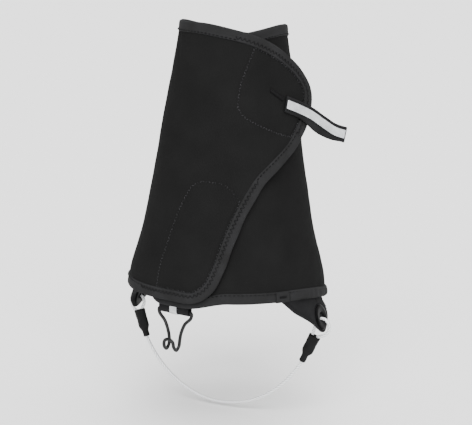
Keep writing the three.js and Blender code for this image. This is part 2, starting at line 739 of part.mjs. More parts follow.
// A body round a sleeve's axis, through [distance from the top, half width, half depth] stations.
function roundAxis([top, bottom], stations) {
  const start = inCablePlane(top);
  const down = inCablePlane(bottom).sub(start).normalize();
  const across = new THREE.Vector3(down.z, 0, -down.x);
  const rings = stations.map(([distance, halfWidth, halfDepth]) => {
    return oval(halfWidth, halfDepth).map(([x, y]) => {
      return start.clone().addScaledVector(down, distance).addScaledVector(across, x).setY(y);
    });
  });
  return loft(rings, oval(1, 1));
}

const ferruleTop = 3;
const ferruleWall = 0.7;
const ferruleHalfDepth = cableRadius + gap + ferruleWall;
const ferruleHalfWidth = ferruleHalfDepth + 1.35;

function ferruleBody(axis, grow) {
  const sizes = [ferruleHalfWidth + grow, ferruleHalfDepth + grow];
  return roundAxis(axis, [[ferruleTop - grow, ...sizes], [ferruleTop + ferruleLength + grow, ...sizes]]);
}

function sleeveBody(axis) {
  const length = inCablePlane(axis[0]).distanceTo(inCablePlane(axis[1]));
  const wide = [sleeveTopWidth / 2, ferruleHalfDepth + gap + 0.5];
  const narrow = [sleeveBottomWidth / 2, sleeveBottomWidth / 2];
  const shoulder = ferruleTop + ferruleLength + 1;
  return roundAxis(axis, [[0, ...wide], [shoulder, ...wide], [length - 3, ...narrow], [length, ...narrow]]);
}

const rooms = cableRooms();
addPart('stirrup_cable', tube(new Route(cableRoute.map(inCablePlane)), cableRadius, 2), coatedCable);
for (const [side, axis] of Object.entries(sleeveAxes)) {
  addPart(`ferrule_${side}`, cut(ferruleBody(axis, 0), ...rooms), crimpAlloy);
  addPart(`sleeve_${side}`, cut(sleeveBody(axis), ...rooms, ferruleBody(axis, gap)), heatShrink);
}

// ---- Lace hook: a bent wire held in a folded webbing, sewn inside the underlap's hem ----

const laceFold = wireRadius + gap + laceWebbingThickness;
const laceSagitta = (laceWebbingWidth / 2) ** 2 / (2 * hemRadius);
const laceFace = baseRadius(laceWebbingTop) + underlapMid - bindingHalf - gap - laceSagitta;
const laceBarRadius = laceFace - laceFold;

// From the hook's own frame (sideways, outwards, up, from the bar's centre) to the body's.
function lacePoint(sideways, out, up) {
  return outward(laceHookAzimuth)
    .multiplyScalar(laceBarRadius + out)
    .addScaledVector(around(laceHookAzimuth), sideways)
    .setZ(laceBarHeight + up);
}

// A flat outline in the hook's out-up plane, extruded sideways.
function laceExtrusion(shape, width) {
  const geometry = new THREE.ExtrudeGeometry(shape, { depth: width, bevelEnabled: false, curveSegments: 8 });
  const position = geometry.getAttribute('position');
  for (let i = 0; i < position.count; i++) {
    const p = lacePoint(width / 2 - position.getZ(i), position.getX(i), position.getY(i));
    position.setXYZ(i, p.x, p.y, p.z);
  }
  geometry.computeVertexNormals();
  return geometry;
}

function laceWebbing() {
  const outer = laceFold;
  const inner = wireRadius + gap;
  const sewn = outer - 2 * laceWebbingThickness;
  const top = laceWebbingTop - laceBarHeight;
  const shape = new THREE.Shape();
  shape.moveTo(outer, top);
  shape.lineTo(sewn, top);
  shape.lineTo(sewn, 9);
  shape.lineTo(-outer, 1.5);
  shape.lineTo(-outer, 0);
  shape.absarc(0, 0, outer, Math.PI, 2 * Math.PI, false);
  const tunnel = new THREE.Path();
  tunnel.moveTo(inner, 0);
  tunnel.lineTo(inner, 6);
  tunnel.lineTo(-inner, 1.5);
  tunnel.absarc(0, 0, inner, Math.PI, 2 * Math.PI, false);
  shape.holes.push(tunnel);
  return laceExtrusion(shape, laceWebbingWidth);
}

function laceReflector() {
  const inner = laceFold + 0.15;
  const outer = inner + reflectorThickness;
  const top = 7;
  const shape = new THREE.Shape();
  shape.moveTo(outer, top);
  shape.lineTo(inner, top);
  shape.lineTo(inner, 0);
  shape.absarc(0, 0, inner, 0, -Math.PI * 0.75, true);
  shape.absarc(0, 0, outer, -Math.PI * 0.75, 0, false);
  return laceExtrusion(shape, reflectorWidth);
}

// One leg of the wire, [sideways, outwards, up]: half the bar, the leg, the bend and half the tip.
function laceLeg() {
  const corner = laceWebbingWidth / 2 + wireRadius + gap;
  const spread = hookLegSpacing;
  return [
    [0.4, 0, 0], [corner - 3, 0, 0], [corner - 0.2, 0, -0.7], [corner, 0, -3.6], [9.4, 0.2, -9],
    [6.4, 0.2, -15.5], [spread + 0.5, 0.2, -hookDrop + 4.5], [spread, 0.8, -hookDrop],
    [spread - 0.2, hookBend, -hookDrop - 2.6], [spread - 0.5, hookReach, -hookDrop],
    [spread - 1.3, hookReach + 0.7, -hookDrop + 4],
  ];
}

function laceWire() {
  const leg = laceLeg();
  const tip = [[0, hookReach + 0.8, -hookDrop + 5.6]];
  const other = leg.map(([sideways, out, up]) => [-sideways, out, up]).reverse();
  const route = new Route([...leg, ...tip, ...other].map((p) => lacePoint(...p)));
  return tube(route, wireRadius, 2);
}

addPart('lace_hook_webbing', laceWebbing(), webbing);
addPart('lace_hook_reflector', laceReflector(), reflective);
addPart('lace_hook_wire', laceWire(), hookWire);

// ---- Pull tab on the flap's lobe ----

const flapFace = flapInner + fabric;
const tabRoot = flapPoint(pullTabAzimuth, pullTabHeight, flapFace + gap);
const tabAlong = flapPoint(pullTabAzimuth + 1, pullTabHeight, flapFace + gap).sub(tabRoot).normalize();
const bodySlope = (hemRadius - topRadius) / bodyHeight;
const tabOut = new THREE.Vector3(tabAlong.y, -tabAlong.x, bodySlope).normalize();
const tabUp = new THREE.Vector3().crossVectors(tabOut, tabAlong);

// Middle line of the tab's underside: [along the lobe, off its face, up the face].
const pullTabRoute = [
  [0, 0, 0], [12, 0.1, -4.3], [24, 0.5, -9.6], [34, 1.8, -16.3], [43, 4.2, -22.6], [51, 7.4, -26],
];

// A flat band that follows the route, between two distances above its underside.
function pullTabBand(width, low, high, trim) {
  const curve = new THREE.CatmullRomCurve3(
    pullTabRoute.map(([along, out, up]) => {
      const level = tabRoot.clone().addScaledVector(tabAlong, along);
      return level.addScaledVector(tabOut, out).addScaledVector(tabUp, up);
    }),
  );
  const section = [[-width / 2, low], [width / 2, low], [width / 2, high], [-width / 2, high]];
  const rings = evenly(trim, 1 - trim, 14).map((share) => {
    const centre = curve.getPointAt(share);
    const forward = curve.getTangentAt(share);
    const across = new THREE.Vector3().crossVectors(tabOut, forward).normalize();
    const off = new THREE.Vector3().crossVectors(forward, across);
    return section.map(([x, y]) => centre.clone().addScaledVector(across, x).addScaledVector(off, y));
  });
  return loft(rings, section);
}

function pullTabBartack() {
  const line = [[-13.7, 9.6], [-9.3, 7.1], [-5, 4.7]].map(([around, up]) => {
    return [pullTabAzimuth + around, pullTabHeight + up];
  });
  const section = [[-1.3, gap], [1.3, gap], [0.9, gap + 1.1], [-0.9, gap + 1.1]];
  return strip(withNormals(line), flapPoint, flapFace, section);
}

addPart('pull_tab_webbing', pullTabBand(pullTabWidth, 0, pullTabThickness, 0), webbing);
const reflectorLow = pullTabThickness + 0.1;
addPart(
  'pull_tab_reflector',
  pullTabBand(reflectorWidth, reflectorLow, reflectorLow + reflectorThickness, 0.02),
  reflective,
);
addPart('pull_tab_bartack', pullTabBartack(), thread);

export default gaiter;
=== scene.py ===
"""Short softshell gaiter for a left boot: cloth, bindings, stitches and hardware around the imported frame.

Sizes are in millimetres and degrees, and turn to metres where a mesh is made. Azimuths run about Z,
from 0 at the toes (-Y) through 90 at +X. Offsets run outwards from the underlap's inner face.
"""

import logging
from dataclasses import dataclass
from enum import Enum
from typing import Callable, Sequence

import bpy
import numpy as np
from mathutils import Matrix, Vector


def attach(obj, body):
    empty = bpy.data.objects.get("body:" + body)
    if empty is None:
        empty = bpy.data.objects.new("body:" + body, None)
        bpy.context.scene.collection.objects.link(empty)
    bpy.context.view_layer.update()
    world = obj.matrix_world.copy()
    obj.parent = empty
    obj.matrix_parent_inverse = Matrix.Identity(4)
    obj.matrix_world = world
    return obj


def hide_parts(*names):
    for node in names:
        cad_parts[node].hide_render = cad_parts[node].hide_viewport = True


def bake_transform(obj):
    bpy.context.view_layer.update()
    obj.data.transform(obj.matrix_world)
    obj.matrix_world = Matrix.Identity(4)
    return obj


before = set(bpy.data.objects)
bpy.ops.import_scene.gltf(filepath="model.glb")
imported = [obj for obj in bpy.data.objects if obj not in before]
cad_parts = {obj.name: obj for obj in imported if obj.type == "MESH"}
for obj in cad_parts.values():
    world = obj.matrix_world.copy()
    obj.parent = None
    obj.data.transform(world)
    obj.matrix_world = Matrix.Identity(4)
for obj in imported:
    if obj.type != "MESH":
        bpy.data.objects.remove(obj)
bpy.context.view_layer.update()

LOG = logging.getLogger("gaiter")
MM = 0.001
Array = np.ndarray
Path = np.ndarray
Place = Callable[[Array, Array, Array], Array]
Piece = bpy.types.Object
Tree = bpy.types.NodeTree
Node = bpy.types.Node
Socket = bpy.types.NodeSocket
Material = bpy.types.Material


# ---- small helpers


def ease(value: Array | float) -> Array:
    """Smooth step from 0 to 1."""
    t = np.clip(value, 0.0, 1.0)
    return t * t * (3 - 2 * t)


def linear(hex_colour: str) -> tuple[float, float, float, float]:
    """Turn an sRGB hex colour such as "#2b2b2d" to linear light.

    Args:
        hex_colour: The colour, with its hash.

    Returns:
        Red, green, blue and an alpha of 1.
    """
    parts = [int(hex_colour[i : i + 2], 16) / 255 for i in (1, 3, 5)]
    light = [c / 12.92 if c <= 0.04045 else ((c + 0.055) / 1.055) ** 2.4 for c in parts]
    return (*light, 1.0)


def smooth_curve(points: Sequence[Sequence[float]], count: int) -> Array:
    """Sample a centripetal Catmull-Rom curve at equal distances.

    Args:
        points: The points that the curve goes through.
        count: How many equal steps to take.

    Returns:
        count + 1 points on the curve.
    """
    knots = np.array(points, float)
    knots = np.vstack([2 * knots[0] - knots[1], knots, 2 * knots[-1] - knots[-2]])
    share = np.linspace(0, 1, 24, endpoint=False)[:, None]
    pieces = []
    for a, b, c, d in zip(knots, knots[1:], knots[2:], knots[3:]):
        before, along, after = (np.linalg.norm(q - p) ** 0.5 for p, q in ((a, b), (b, c), (c, d)))
        leave = ((b - a) / before - (c - a) / (before + along) + (c - b) / along) * along
        arrive = ((c - b) / along - (d - b) / (along + after) + (d - c) / after) * along
        square = -3 * b + 3 * c - 2 * leave - arrive
        cube = 2 * b - 2 * c + leave + arrive
        pieces.append(b + share * leave + share**2 * square + share**3 * cube)
    return resampled(np.vstack([*pieces, knots[-2]]), count)


def resampled(points: Array, count: int) -> Array:
    """Space points equally along a polyline.

    Args:
        points: The polyline.
        count: How many equal steps to take.

    Returns:
        count + 1 points.
    """
    travelled = np.concatenate([[0], np.cumsum(np.linalg.norm(np.diff(points, axis=0), axis=1))])
    stations = np.linspace(0, travelled[-1], count + 1)
    return np.column_stack([np.interp(stations, travelled, column) for column in points.T])


def unit(vectors: Array) -> Array:
    """Vectors brought to length one."""
    return vectors / np.linalg.norm(vectors, axis=-1, keepdims=True)


def ripple(u: Array, v: Array, wavelength: float, phase: float) -> Array:
    """Soft irregular waves between about -1 and 1, the same each run.

    Args:
        u: First place on the cloth, in mm.
        v: Second place on the cloth, in mm.
        wavelength: The size of one wave, in mm.
        phase: Picks one pattern out of many.

    Returns:
        The height of the waves at each place.
    """
    k = 2 * np.pi / wavelength
    first = np.sin(k * (0.93 * u + 0.37 * v) + phase)
    second = np.sin(k * (0.41 * u - 0.86 * v) * 1.31 + 2.3 * phase)
    third = np.sin(k * (-0.62 * u + 1.17 * v) * 0.71 + 3.7 * phase)
    return (first + second + third) / 3


# ---- the gaiter's surface


@dataclass(frozen=True)
class BodySurface:
    """The cone that every cloth layer follows, with the layers' places on it."""

    height: float = 198.5
    top_radius: float = 35.6
    hem_radius: float = 68.2
    swell: float = 3.7
    swell_height: float = 15.0
    swell_spread: float = 24.0
    hinge: float = -31.0
    rise_start: float = -95.0
    lift_start: float = 66.0
    lift_flattening: float = 3.0
    fabric: float = 1.0
    gap: float = 0.35
    patch: float = 1.0

    @property
    def loop_inner(self) -> float:
        """Inner face of the loop patches, on the underlap."""
        return self.fabric + self.gap

    @property
    def hook_inner(self) -> float:
        """Inner face of the hook patches, under the flap."""
        return self.loop_inner + self.patch + self.gap

    @property
    def flap_inner(self) -> float:
        """Inner face of the flap."""
        return self.hook_inner + self.patch + self.gap

    def radius(self, z: Array | float) -> Array:
        """Radius of the base surface at a height."""
        swell = self.swell * np.exp(-(((z - self.swell_height) / self.swell_spread) ** 2))
        return self.top_radius + (self.hem_radius - self.top_radius) * (1 - z / self.height) + swell

    def round(self, azimuth: Array, z: Array, offset: Array) -> Array:
        """Points of the body's own cone, in mm.

        Args:
            azimuth: Degrees from the toes.
            z: Heights in mm.
            offset: Distances in mm from the underlap's inner face.

        Returns:
            Points in mm.
        """
        turn = np.radians(azimuth)
        reach = self.radius(z) + offset
        return np.stack([np.sin(turn) * reach, -np.cos(turn) * reach, z + 0 * reach], axis=-1)

    def flap(self, azimuth: Array, z: Array, offset: Array) -> Array:
        """Points of the flap, which flattens where it leaves the cone, in mm.

        Args:
            azimuth: Degrees from the toes.
            z: Heights in mm.
            offset: Distances in mm from the underlap's inner face.

        Returns:
            Points in mm.
        """
        middle = self.radius(z) + self.flap_inner + self.fabric / 2
        flat = self.lift_flattening * middle
        start = np.radians(self.lift_start)
        turn = start + np.radians(azimuth - self.lift_start) * middle / flat
        reach = flat + self.flap_inner + offset - (middle - self.radius(z))
        x = np.sin(start) * (middle - flat) + np.sin(turn) * reach
        y = -np.cos(start) * (middle - flat) - np.cos(turn) * reach
        lifted = np.stack([x, y, z + 0 * x], axis=-1)
        close = self.round(azimuth, z, offset + self.flap_inner)
        return np.where((azimuth > self.lift_start)[..., None], lifted, close)

    def front(self, azimuth: Array, z: Array, offset: Array) -> Array:
        """Points of the cloth that runs from the back seam round the left side into the flap, in mm.

        Args:
            azimuth: Degrees from the toes.
            z: Heights in mm.
            offset: Distances in mm from the underlap's inner face.

        Returns:
            Points in mm.
        """
        azimuth, z, offset = np.broadcast_arrays(azimuth, z, offset)
        rise = ease((azimuth - self.rise_start) / (self.hinge - self.rise_start)) * self.flap_inner
        left = self.round(azimuth, z, offset + rise)
        return np.where((azimuth < self.hinge)[..., None], left, self.flap(azimuth, z, offset))


@dataclass(frozen=True)
class Rims:
    """The finished edges of the cloth, as heights at each azimuth and as paths."""

    surface: BodySurface
    front_rise: float = 5.6
    back_drop: float = 5.5
    corner_drop: float = 5.0
    top_drop: float = 1.3
    front_dip: float = 12.0
    scoop: float = 11.5
    underlap_edge: float = -27.0
    corner_radius: float = 12.0
    join: float = 52.0
    join_span: float = 9.3

    def hem(self, azimuth: Array | float) -> Array:
        """Height of the outer cloth's hem."""
        back = ease((np.abs(azimuth) - 62) / 83)
        return self.front_rise - back * (self.front_rise + self.back_drop)

    def underlap_hem(self, azimuth: Array | float) -> Array:
        """Height of the underlap's hem, which drops towards its front corner."""
        return self.hem(azimuth) - self.corner_drop * ease((25 - azimuth) / 25)

    def left_top(self, azimuth: Array | float) -> Array:
        """Height of the left side's top edge."""
        return self.surface.height - self.scoop * ease((-66 - azimuth) / 114)

    def underlap_top(self, azimuth: Array | float) -> Array:
        """Height of the underlap's top edge.

        Args:
            azimuth: Degrees from the toes.

        Returns:
            Heights in mm.
        """
        dip = self.front_dip * ease((90 - azimuth) / (90 - self.underlap_edge))
        scoop = (self.scoop - self.top_drop) * ease((azimuth - 100) / 80)
        return self.surface.height - self.top_drop - dip - scoop

    def flap_edge(self) -> Path:
        """The flap's edge from the hinge along the top, round the lobe and down to the hem.

        Returns:
            Azimuth in degrees and height in mm at each point.
        """
        shares = [
            (-6, 0.997), (20, 0.983), (40, 0.966), (58, 0.939), (80, 0.893), (98, 0.836), (107.5, 0.776),
            (107, 0.72), (96, 0.643), (80, 0.564), (62, 0.5), (48, 0.442), (37, 0.355), (28, 0.249),
            (21.5, 0.144), (15.5, 0.069),
        ]
        hinge = self.surface.hinge + 0.3
        level = float(self.hem(0))
        shape = [(hinge, float(self.left_top(hinge)))]
        shape += [(azimuth, share * self.surface.height) for azimuth, share in shares]
        return smooth_curve([*shape, (6, level), (-8, level), (hinge, level)], 240)

    def along(self, start: float, end: float, line: Callable, step: float = 1.5) -> Path:
        """A path that follows a rim line.

        Args:
            start: First azimuth.
            end: Last azimuth.
            line: Height at each azimuth.
            step: Largest step, in degrees.

        Returns:
            Azimuth and height pairs.
        """
        azimuth = np.linspace(start, end, int(np.ceil(abs(end - start) / step)) + 1)
        return np.column_stack([azimuth, line(azimuth)])

    def front_rim(self) -> Path:
        """The whole edge of the outer cloth, from the back seam over the top and back along the hem.

        Returns:
            Azimuth in degrees and height in mm at each point.
        """
        hinge = self.surface.hinge
        top = self.along(-180, hinge - 0.5, self.left_top)
        hem = self.along(hinge - 0.5, -180, self.hem)
        return np.vstack([top, self.flap_edge(), hem])

    def underlap_rim(self) -> Path:
        """The underlap's bound edge, from the hem join round its free edge and along its top.

        Returns:
            Azimuth in degrees and height in mm at each point.
        """
        edge, radius = self.underlap_edge, self.corner_radius
        low = float(self.underlap_hem(edge))
        top_azimuth = edge + np.degrees(radius / self.surface.top_radius)
        high = float(self.underlap_top(top_azimuth))
        low_azimuth = edge + np.degrees(radius / self.surface.hem_radius)
        turn = np.radians(np.linspace(0, 90, 10))
        low_corner = np.column_stack([
            low_azimuth - np.degrees(radius * np.sin(turn) / self.surface.hem_radius),
            low + radius - radius * np.cos(turn),
        ])
        high_corner = np.column_stack([
            top_azimuth - np.degrees(radius * np.cos(turn) / self.surface.top_radius),
            high - radius + radius * np.sin(turn),
        ])
        side_z = np.linspace(low + radius, high - radius, 80)[1:-1]
        side = np.column_stack([np.full(side_z.shape, edge), side_z])
        hem = self.along(self.join + self.join_span, low_azimuth + 1, self.underlap_hem)
        top = self.along(top_azimuth + 2, 180, self.underlap_top)
        return np.vstack([hem, low_corner, side, high_corner, top])


@dataclass(frozen=True)
class Seamwork:
    """Paths, strips and stitch lines on the surface."""

    surface: BodySurface

    def flat(self, path: Path) -> Path:
        """A path of azimuth and height as millimetres on the flat."""
        return np.column_stack([np.radians(path[:, 0]) * self.surface.radius(path[:, 1]), path[:, 1]])

    def even(self, path: Path, step: float) -> Path:
        """A path with points at equal distances on the cloth.

        Args:
            path: Azimuth and height pairs.
            step: The distance, in mm.

        Returns:
            The same path, resampled.
        """
        away = np.diff(path, axis=0)
        away[:, 0] = np.radians(away[:, 0]) * self.surface.radius(path[:-1, 1])
        travelled = np.concatenate([[0], np.cumsum(np.linalg.norm(away, axis=1))])
        stations = np.linspace(0, travelled[-1], max(2, int(round(travelled[-1] / step))) + 1)
        return np.column_stack([np.interp(stations, travelled, column) for column in path.T])

    def normals(self, path: Path) -> Array:
        """Unit normals in millimetres that leave the cloth at each path point.

        Args:
            path: Azimuth in degrees and height in mm at each point.

        Returns:
            For each point, how far to go along and up.
        """
        away = np.gradient(path, axis=0)
        away[:, 0] = np.radians(away[:, 0]) * self.surface.radius(path[:, 1])
        away = unit(away)
        return np.column_stack([-away[:, 1], away[:, 0]])

    def stepped(self, path: Path, distance: Array | float) -> Path:
        """The path moved out of the cloth by a distance in mm (into it where negative).

        Args:
            path: Azimuth in degrees and height in mm at each point.
            distance: How far to move it.

        Returns:
            The moved path.
        """
        normal = self.normals(path)
        shift = np.degrees(distance * normal[:, 0] / self.surface.radius(path[:, 1]))
        return np.column_stack([path[:, 0] + shift, path[:, 1] + distance * normal[:, 1]])

    def rings(self, path: Path, place: Place, section: Array) -> Array:
        """Sweep a section along an edge path.

        Args:
            path: Azimuth and height pairs.
            place: Turns azimuth, height and offset to a point in mm.
            section: One or many rings of points: x out of the cloth's edge, y off its face.

        Returns:
            Rings of points, in mm.
        """
        normal = self.normals(path)
        section = np.broadcast_to(section, (len(path), *section.shape[-2:]))
        x, y = section[..., 0], section[..., 1]
        azimuth = path[:, :1] + np.degrees(x * normal[:, :1] / self.surface.radius(path[:, 1:2]))
        return place(azimuth, path[:, 1:2] + x * normal[:, 1:2], y)

    def distance(self, azimuth: Array, z: Array, path: Path) -> Array:
        """Distance on the cloth, in mm, from each place to a path.

        Args:
            azimuth: Degrees from the toes.
            z: Heights in mm.
            path: Azimuth in degrees and height in mm at each point.

        Returns:
            The distance at each place.
        """
        line = self.even(path, 1.5)
        nearest = np.full(azimuth.shape, 1e9)
        scale = np.radians(1) * self.surface.radius(z)
        for a, b in line:
            nearest = np.minimum(nearest, ((azimuth - a) * scale) ** 2 + (z - b) ** 2)
        return np.sqrt(nearest)


# ---- meshes


def new_object(name: str, points: Array, faces: list, uv: Array | None = None) -> Piece:
    """Make an object whose faces point outwards.

    Args:
        name: The piece's name.
        points: Vertices in mm.
        faces: Vertex numbers of each face.
        uv: A place in metres on the material for each vertex, or None.

    Returns:
        The new object, linked to the scene.
    """
    mesh = bpy.data.meshes.new(name)
    mesh.from_pydata((points * MM).tolist(), [], faces)
    mesh.update()
    if signed_volume(mesh) < 0:
        mesh.flip_normals()
    if uv is not None:
        layer = mesh.uv_layers.new(name="cloth")
        corners = np.zeros(len(mesh.loops), int)
        mesh.loops.foreach_get("vertex_index", corners)
        layer.data.foreach_set("uv", (uv[corners] * MM).astype(np.float32).ravel())
    mesh.shade_smooth()
    piece = bpy.data.objects.new(name, mesh)
    bpy.context.collection.objects.link(piece)
    return piece


def signed_volume(mesh: bpy.types.Mesh) -> float:
    """Six times the volume that a mesh's faces enclose; negative where they point inwards.

    Args:
        mesh: The mesh to measure.

    Returns:
        The volume in the mesh's own units, six times over.
    """
    mesh.calc_loop_triangles()
    corners = np.zeros(len(mesh.loop_triangles) * 3, int)
    mesh.loop_triangles.foreach_get("vertices", corners)
    points = np.zeros(len(mesh.vertices) * 3)
    mesh.vertices.foreach_get("co", points)
    a, b, c = points.reshape(-1, 3)[corners.reshape(-1, 3)].transpose(1, 0, 2)
    return float(np.einsum("ij,ij->", a, np.cross(b, c)))


def loft(name: str, rings: Array, closed: bool = False) -> Piece:
    """A closed body through equal rings.

    Args:
        name: The piece's name.
        rings: Rings of points, in mm.
        closed: True where the last ring joins the first, so there are no ends to cap.

    Returns:
        The new object, with a UV map that runs along the rings and around them.
    """
    count, size = rings.shape[:2]
    points = rings.reshape(-1, 3)
    faces = []
    for i in range(count if closed else count - 1):
        for j in range(size):
            a, b = i * size + j, i * size + (j + 1) % size
            c, d = ((i + 1) % count) * size + j, ((i + 1) % count) * size + (j + 1) % size
            faces.append((a, b, d, c))
    if not closed:
        faces.append(tuple(reversed(range(size))))
        faces.append(tuple(range((count - 1) * size, count * size)))
    middles = rings.mean(axis=1)
    along = np.concatenate([[0], np.cumsum(np.linalg.norm(np.diff(middles, axis=0), axis=1))])
    around = np.concatenate([[0], np.cumsum(np.linalg.norm(np.diff(rings[0], axis=0), axis=1))])
    uv = np.stack(np.broadcast_arrays(along[:, None], around[None, :]), axis=-1).reshape(-1, 2)
    return new_object(name, points, faces, uv)


def cloth_sheet(name: str, outer: Array, inner: Array, uv: Array) -> Piece:
    """A sheet with two faces and a rim.

    Args:
        name: The piece's name.
        outer: Grid of points of the outer face, in mm.
        inner: The same grid on the inner face.
        uv: Place of each grid point on the cut cloth, in mm.

    Returns:
        The new object.
    """
    columns, rows = outer.shape[:2]
    points = np.vstack([outer.reshape(-1, 3), inner.reshape(-1, 3)])
    layer = columns * rows
    faces = []
    for i in range(columns - 1):
        for j in range(rows - 1):
            a, b, c, d = i * rows + j, (i + 1) * rows + j, (i + 1) * rows + j + 1, i * rows + j + 1
            faces.append((a, b, c, d))
            faces.append((a + layer, d + layer, c + layer, b + layer))
    rim = [i * rows for i in range(columns)]
    rim += [(columns - 1) * rows + j for j in range(1, rows)]
    rim += [i * rows + rows - 1 for i in range(columns - 2, -1, -1)]
    rim += [j for j in range(rows - 2, 0, -1)]
    for p, q in zip(rim, rim[1:] + rim[:1]):
        faces.append((q, p, p + layer, q + layer))
    return new_object(name, points, faces, np.vstack([uv.reshape(-1, 2)] * 2))


def tube_rings(route: Array, section: Array, up: Sequence[float] | None = None) -> Array:
    """Carry a section along a route without twisting it.

    Args:
        route: The centre line, in mm.
        section: Points across the route, one ring or one for each route point.
        up: A direction that the section's second axis keeps to, or None to let it roll freely.

    Returns:
        Rings of points, in mm.
    """
    forward = unit(np.gradient(route, axis=0))
    side = np.zeros_like(route)
    guide = np.array(up if up is not None else (0.0, 1.0, 0.0), float)
    for i, ahead in enumerate(forward):
        across = np.cross(guide, ahead)
        side[i] = across / np.linalg.norm(across)
        if up is None:
            guide = np.cross(ahead, side[i])
    rise = np.cross(forward, side)
    section = np.broadcast_to(section, (len(route), *section.shape[-2:]))
    return route[:, None] + section[..., :1] * side[:, None] + section[..., 1:] * rise[:, None]


def ring_section(radius: float, sides: int, depth: float | None = None) -> Array:
    """Points of a round or oval section.

    Args:
        radius: Half the width.
        sides: How many points.
        depth: Half the depth, or None for a round one.

    Returns:
        The section's points.
    """
    turn = np.linspace(0, 2 * np.pi, sides, endpoint=False)
    return np.column_stack([radius * np.cos(turn), (depth or radius) * np.sin(turn)])


def rounded_band(width: float, low: float, high: float, corner: float, steps: int = 8) -> Array:
    """Section of a flat band with soft edges.

    Args:
        width: The band's width.
        low: Height of its underside.
        high: Height of its face.
        corner: How far its edges are rounded.
        steps: Points across each face.

    Returns:
        The section's points.
    """
    half = width / 2
    middle = (low + high) / 2
    across = np.linspace(-half + corner, half - corner, steps)
    under = np.column_stack([across, np.full(steps, low)])
    over = np.column_stack([across[::-1], np.full(steps, high)])
    bulge = (high - low) * 0.32
    right = [(half - corner * 0.25, middle - bulge), (half, middle), (half - corner * 0.25, middle + bulge)]
    left = [(-x, y) for x, y in reversed(right)]
    return np.vstack([under, right, over, left])


# ---- finishes


def add_node(tree: Tree, kind: str, settings: dict | None = None, links: dict | None = None) -> Node:
    """Add a node with its settings and links.

    Args:
        tree: The node tree.
        kind: The node's type.
        settings: Values for its properties, or for its inputs by name or number.
        links: What to join to its inputs, by name or number: a socket, or a node for its first output.

    Returns:
        The new node.
    """
    node = tree.nodes.new(kind)
    for key, value in (settings or {}).items():
        if isinstance(key, str) and hasattr(node, key):
            setattr(node, key, value)
        else:
            node.inputs[key].default_value = value
    for key, source in (links or {}).items():
        socket = source.outputs[0] if isinstance(source, Node) else source
        tree.links.new(socket, node.inputs[key])
    return node


def blank_material(name: str) -> tuple[Material, Tree]:
    """A material with an empty node tree.

    Args:
        name: What to call it.

    Returns:
        The material and its tree.
    """
    material = bpy.data.materials.new(name)
    material.use_nodes = True
    material.node_tree.nodes.clear()
    return material, material.node_tree


def surface_output(tree: Tree, shader: Node) -> None:
    """Join a shader to the material's output."""
    add_node(tree, "ShaderNodeOutputMaterial", links={"Surface": shader})


def pattern_space(tree: Tree, on_cloth: bool) -> Socket:
    """Coordinates in metres: along the cut cloth, or in the object's own space.

    Args:
        tree: The material's nodes.
        on_cloth: True for a piece with the cloth's UV map.

    Returns:
        The socket that gives them.
    """
    if on_cloth:
        return add_node(tree, "ShaderNodeUVMap", {"uv_map": "cloth"}).outputs["UV"]
    return add_node(tree, "ShaderNodeTexCoord").outputs["Object"]


def blotches(tree: Tree, space: Socket, size: float, detail: float = 2.0) -> Node:
    """Noise whose spots have a real size.

    Args:
        tree: The material's nodes.
        space: Coordinates in metres.
        size: Size of one spot, in mm.
        detail: How much finer noise it holds.

    Returns:
        The noise node.
    """
    return add_node(
        tree, "ShaderNodeTexNoise", {"Scale": 1 / (size * MM), "Detail": detail}, {"Vector": space}
    )


def shaded(
    tree: Tree, amount: Socket, dark: str, light: str, low: float, high: float
) -> Socket:
    """Colour that goes from dark to light as a pattern goes from low to high.

    Args:
        tree: The material's nodes.
        amount: The pattern.
        dark: Hex colour at low.
        light: Hex colour at high.
        low: Pattern value that gives dark.
        high: Pattern value that gives light.

    Returns:
        The colour socket.
    """
    ramp = add_node(tree, "ShaderNodeValToRGB", links={"Fac": amount})
    ramp.color_ramp.elements[0].position = low
    ramp.color_ramp.elements[0].color = linear(dark)
    ramp.color_ramp.elements[1].position = high
    ramp.color_ramp.elements[1].color = linear(light)
    return ramp.outputs["Color"]


class Weave(Enum):
    """How a textile's surface was made, as the directions of its ridges."""

    PLAIN = (0.0, 90.0)
    TWILL = (58.0, 90.0)
    RIB = (0.0, 0.0)


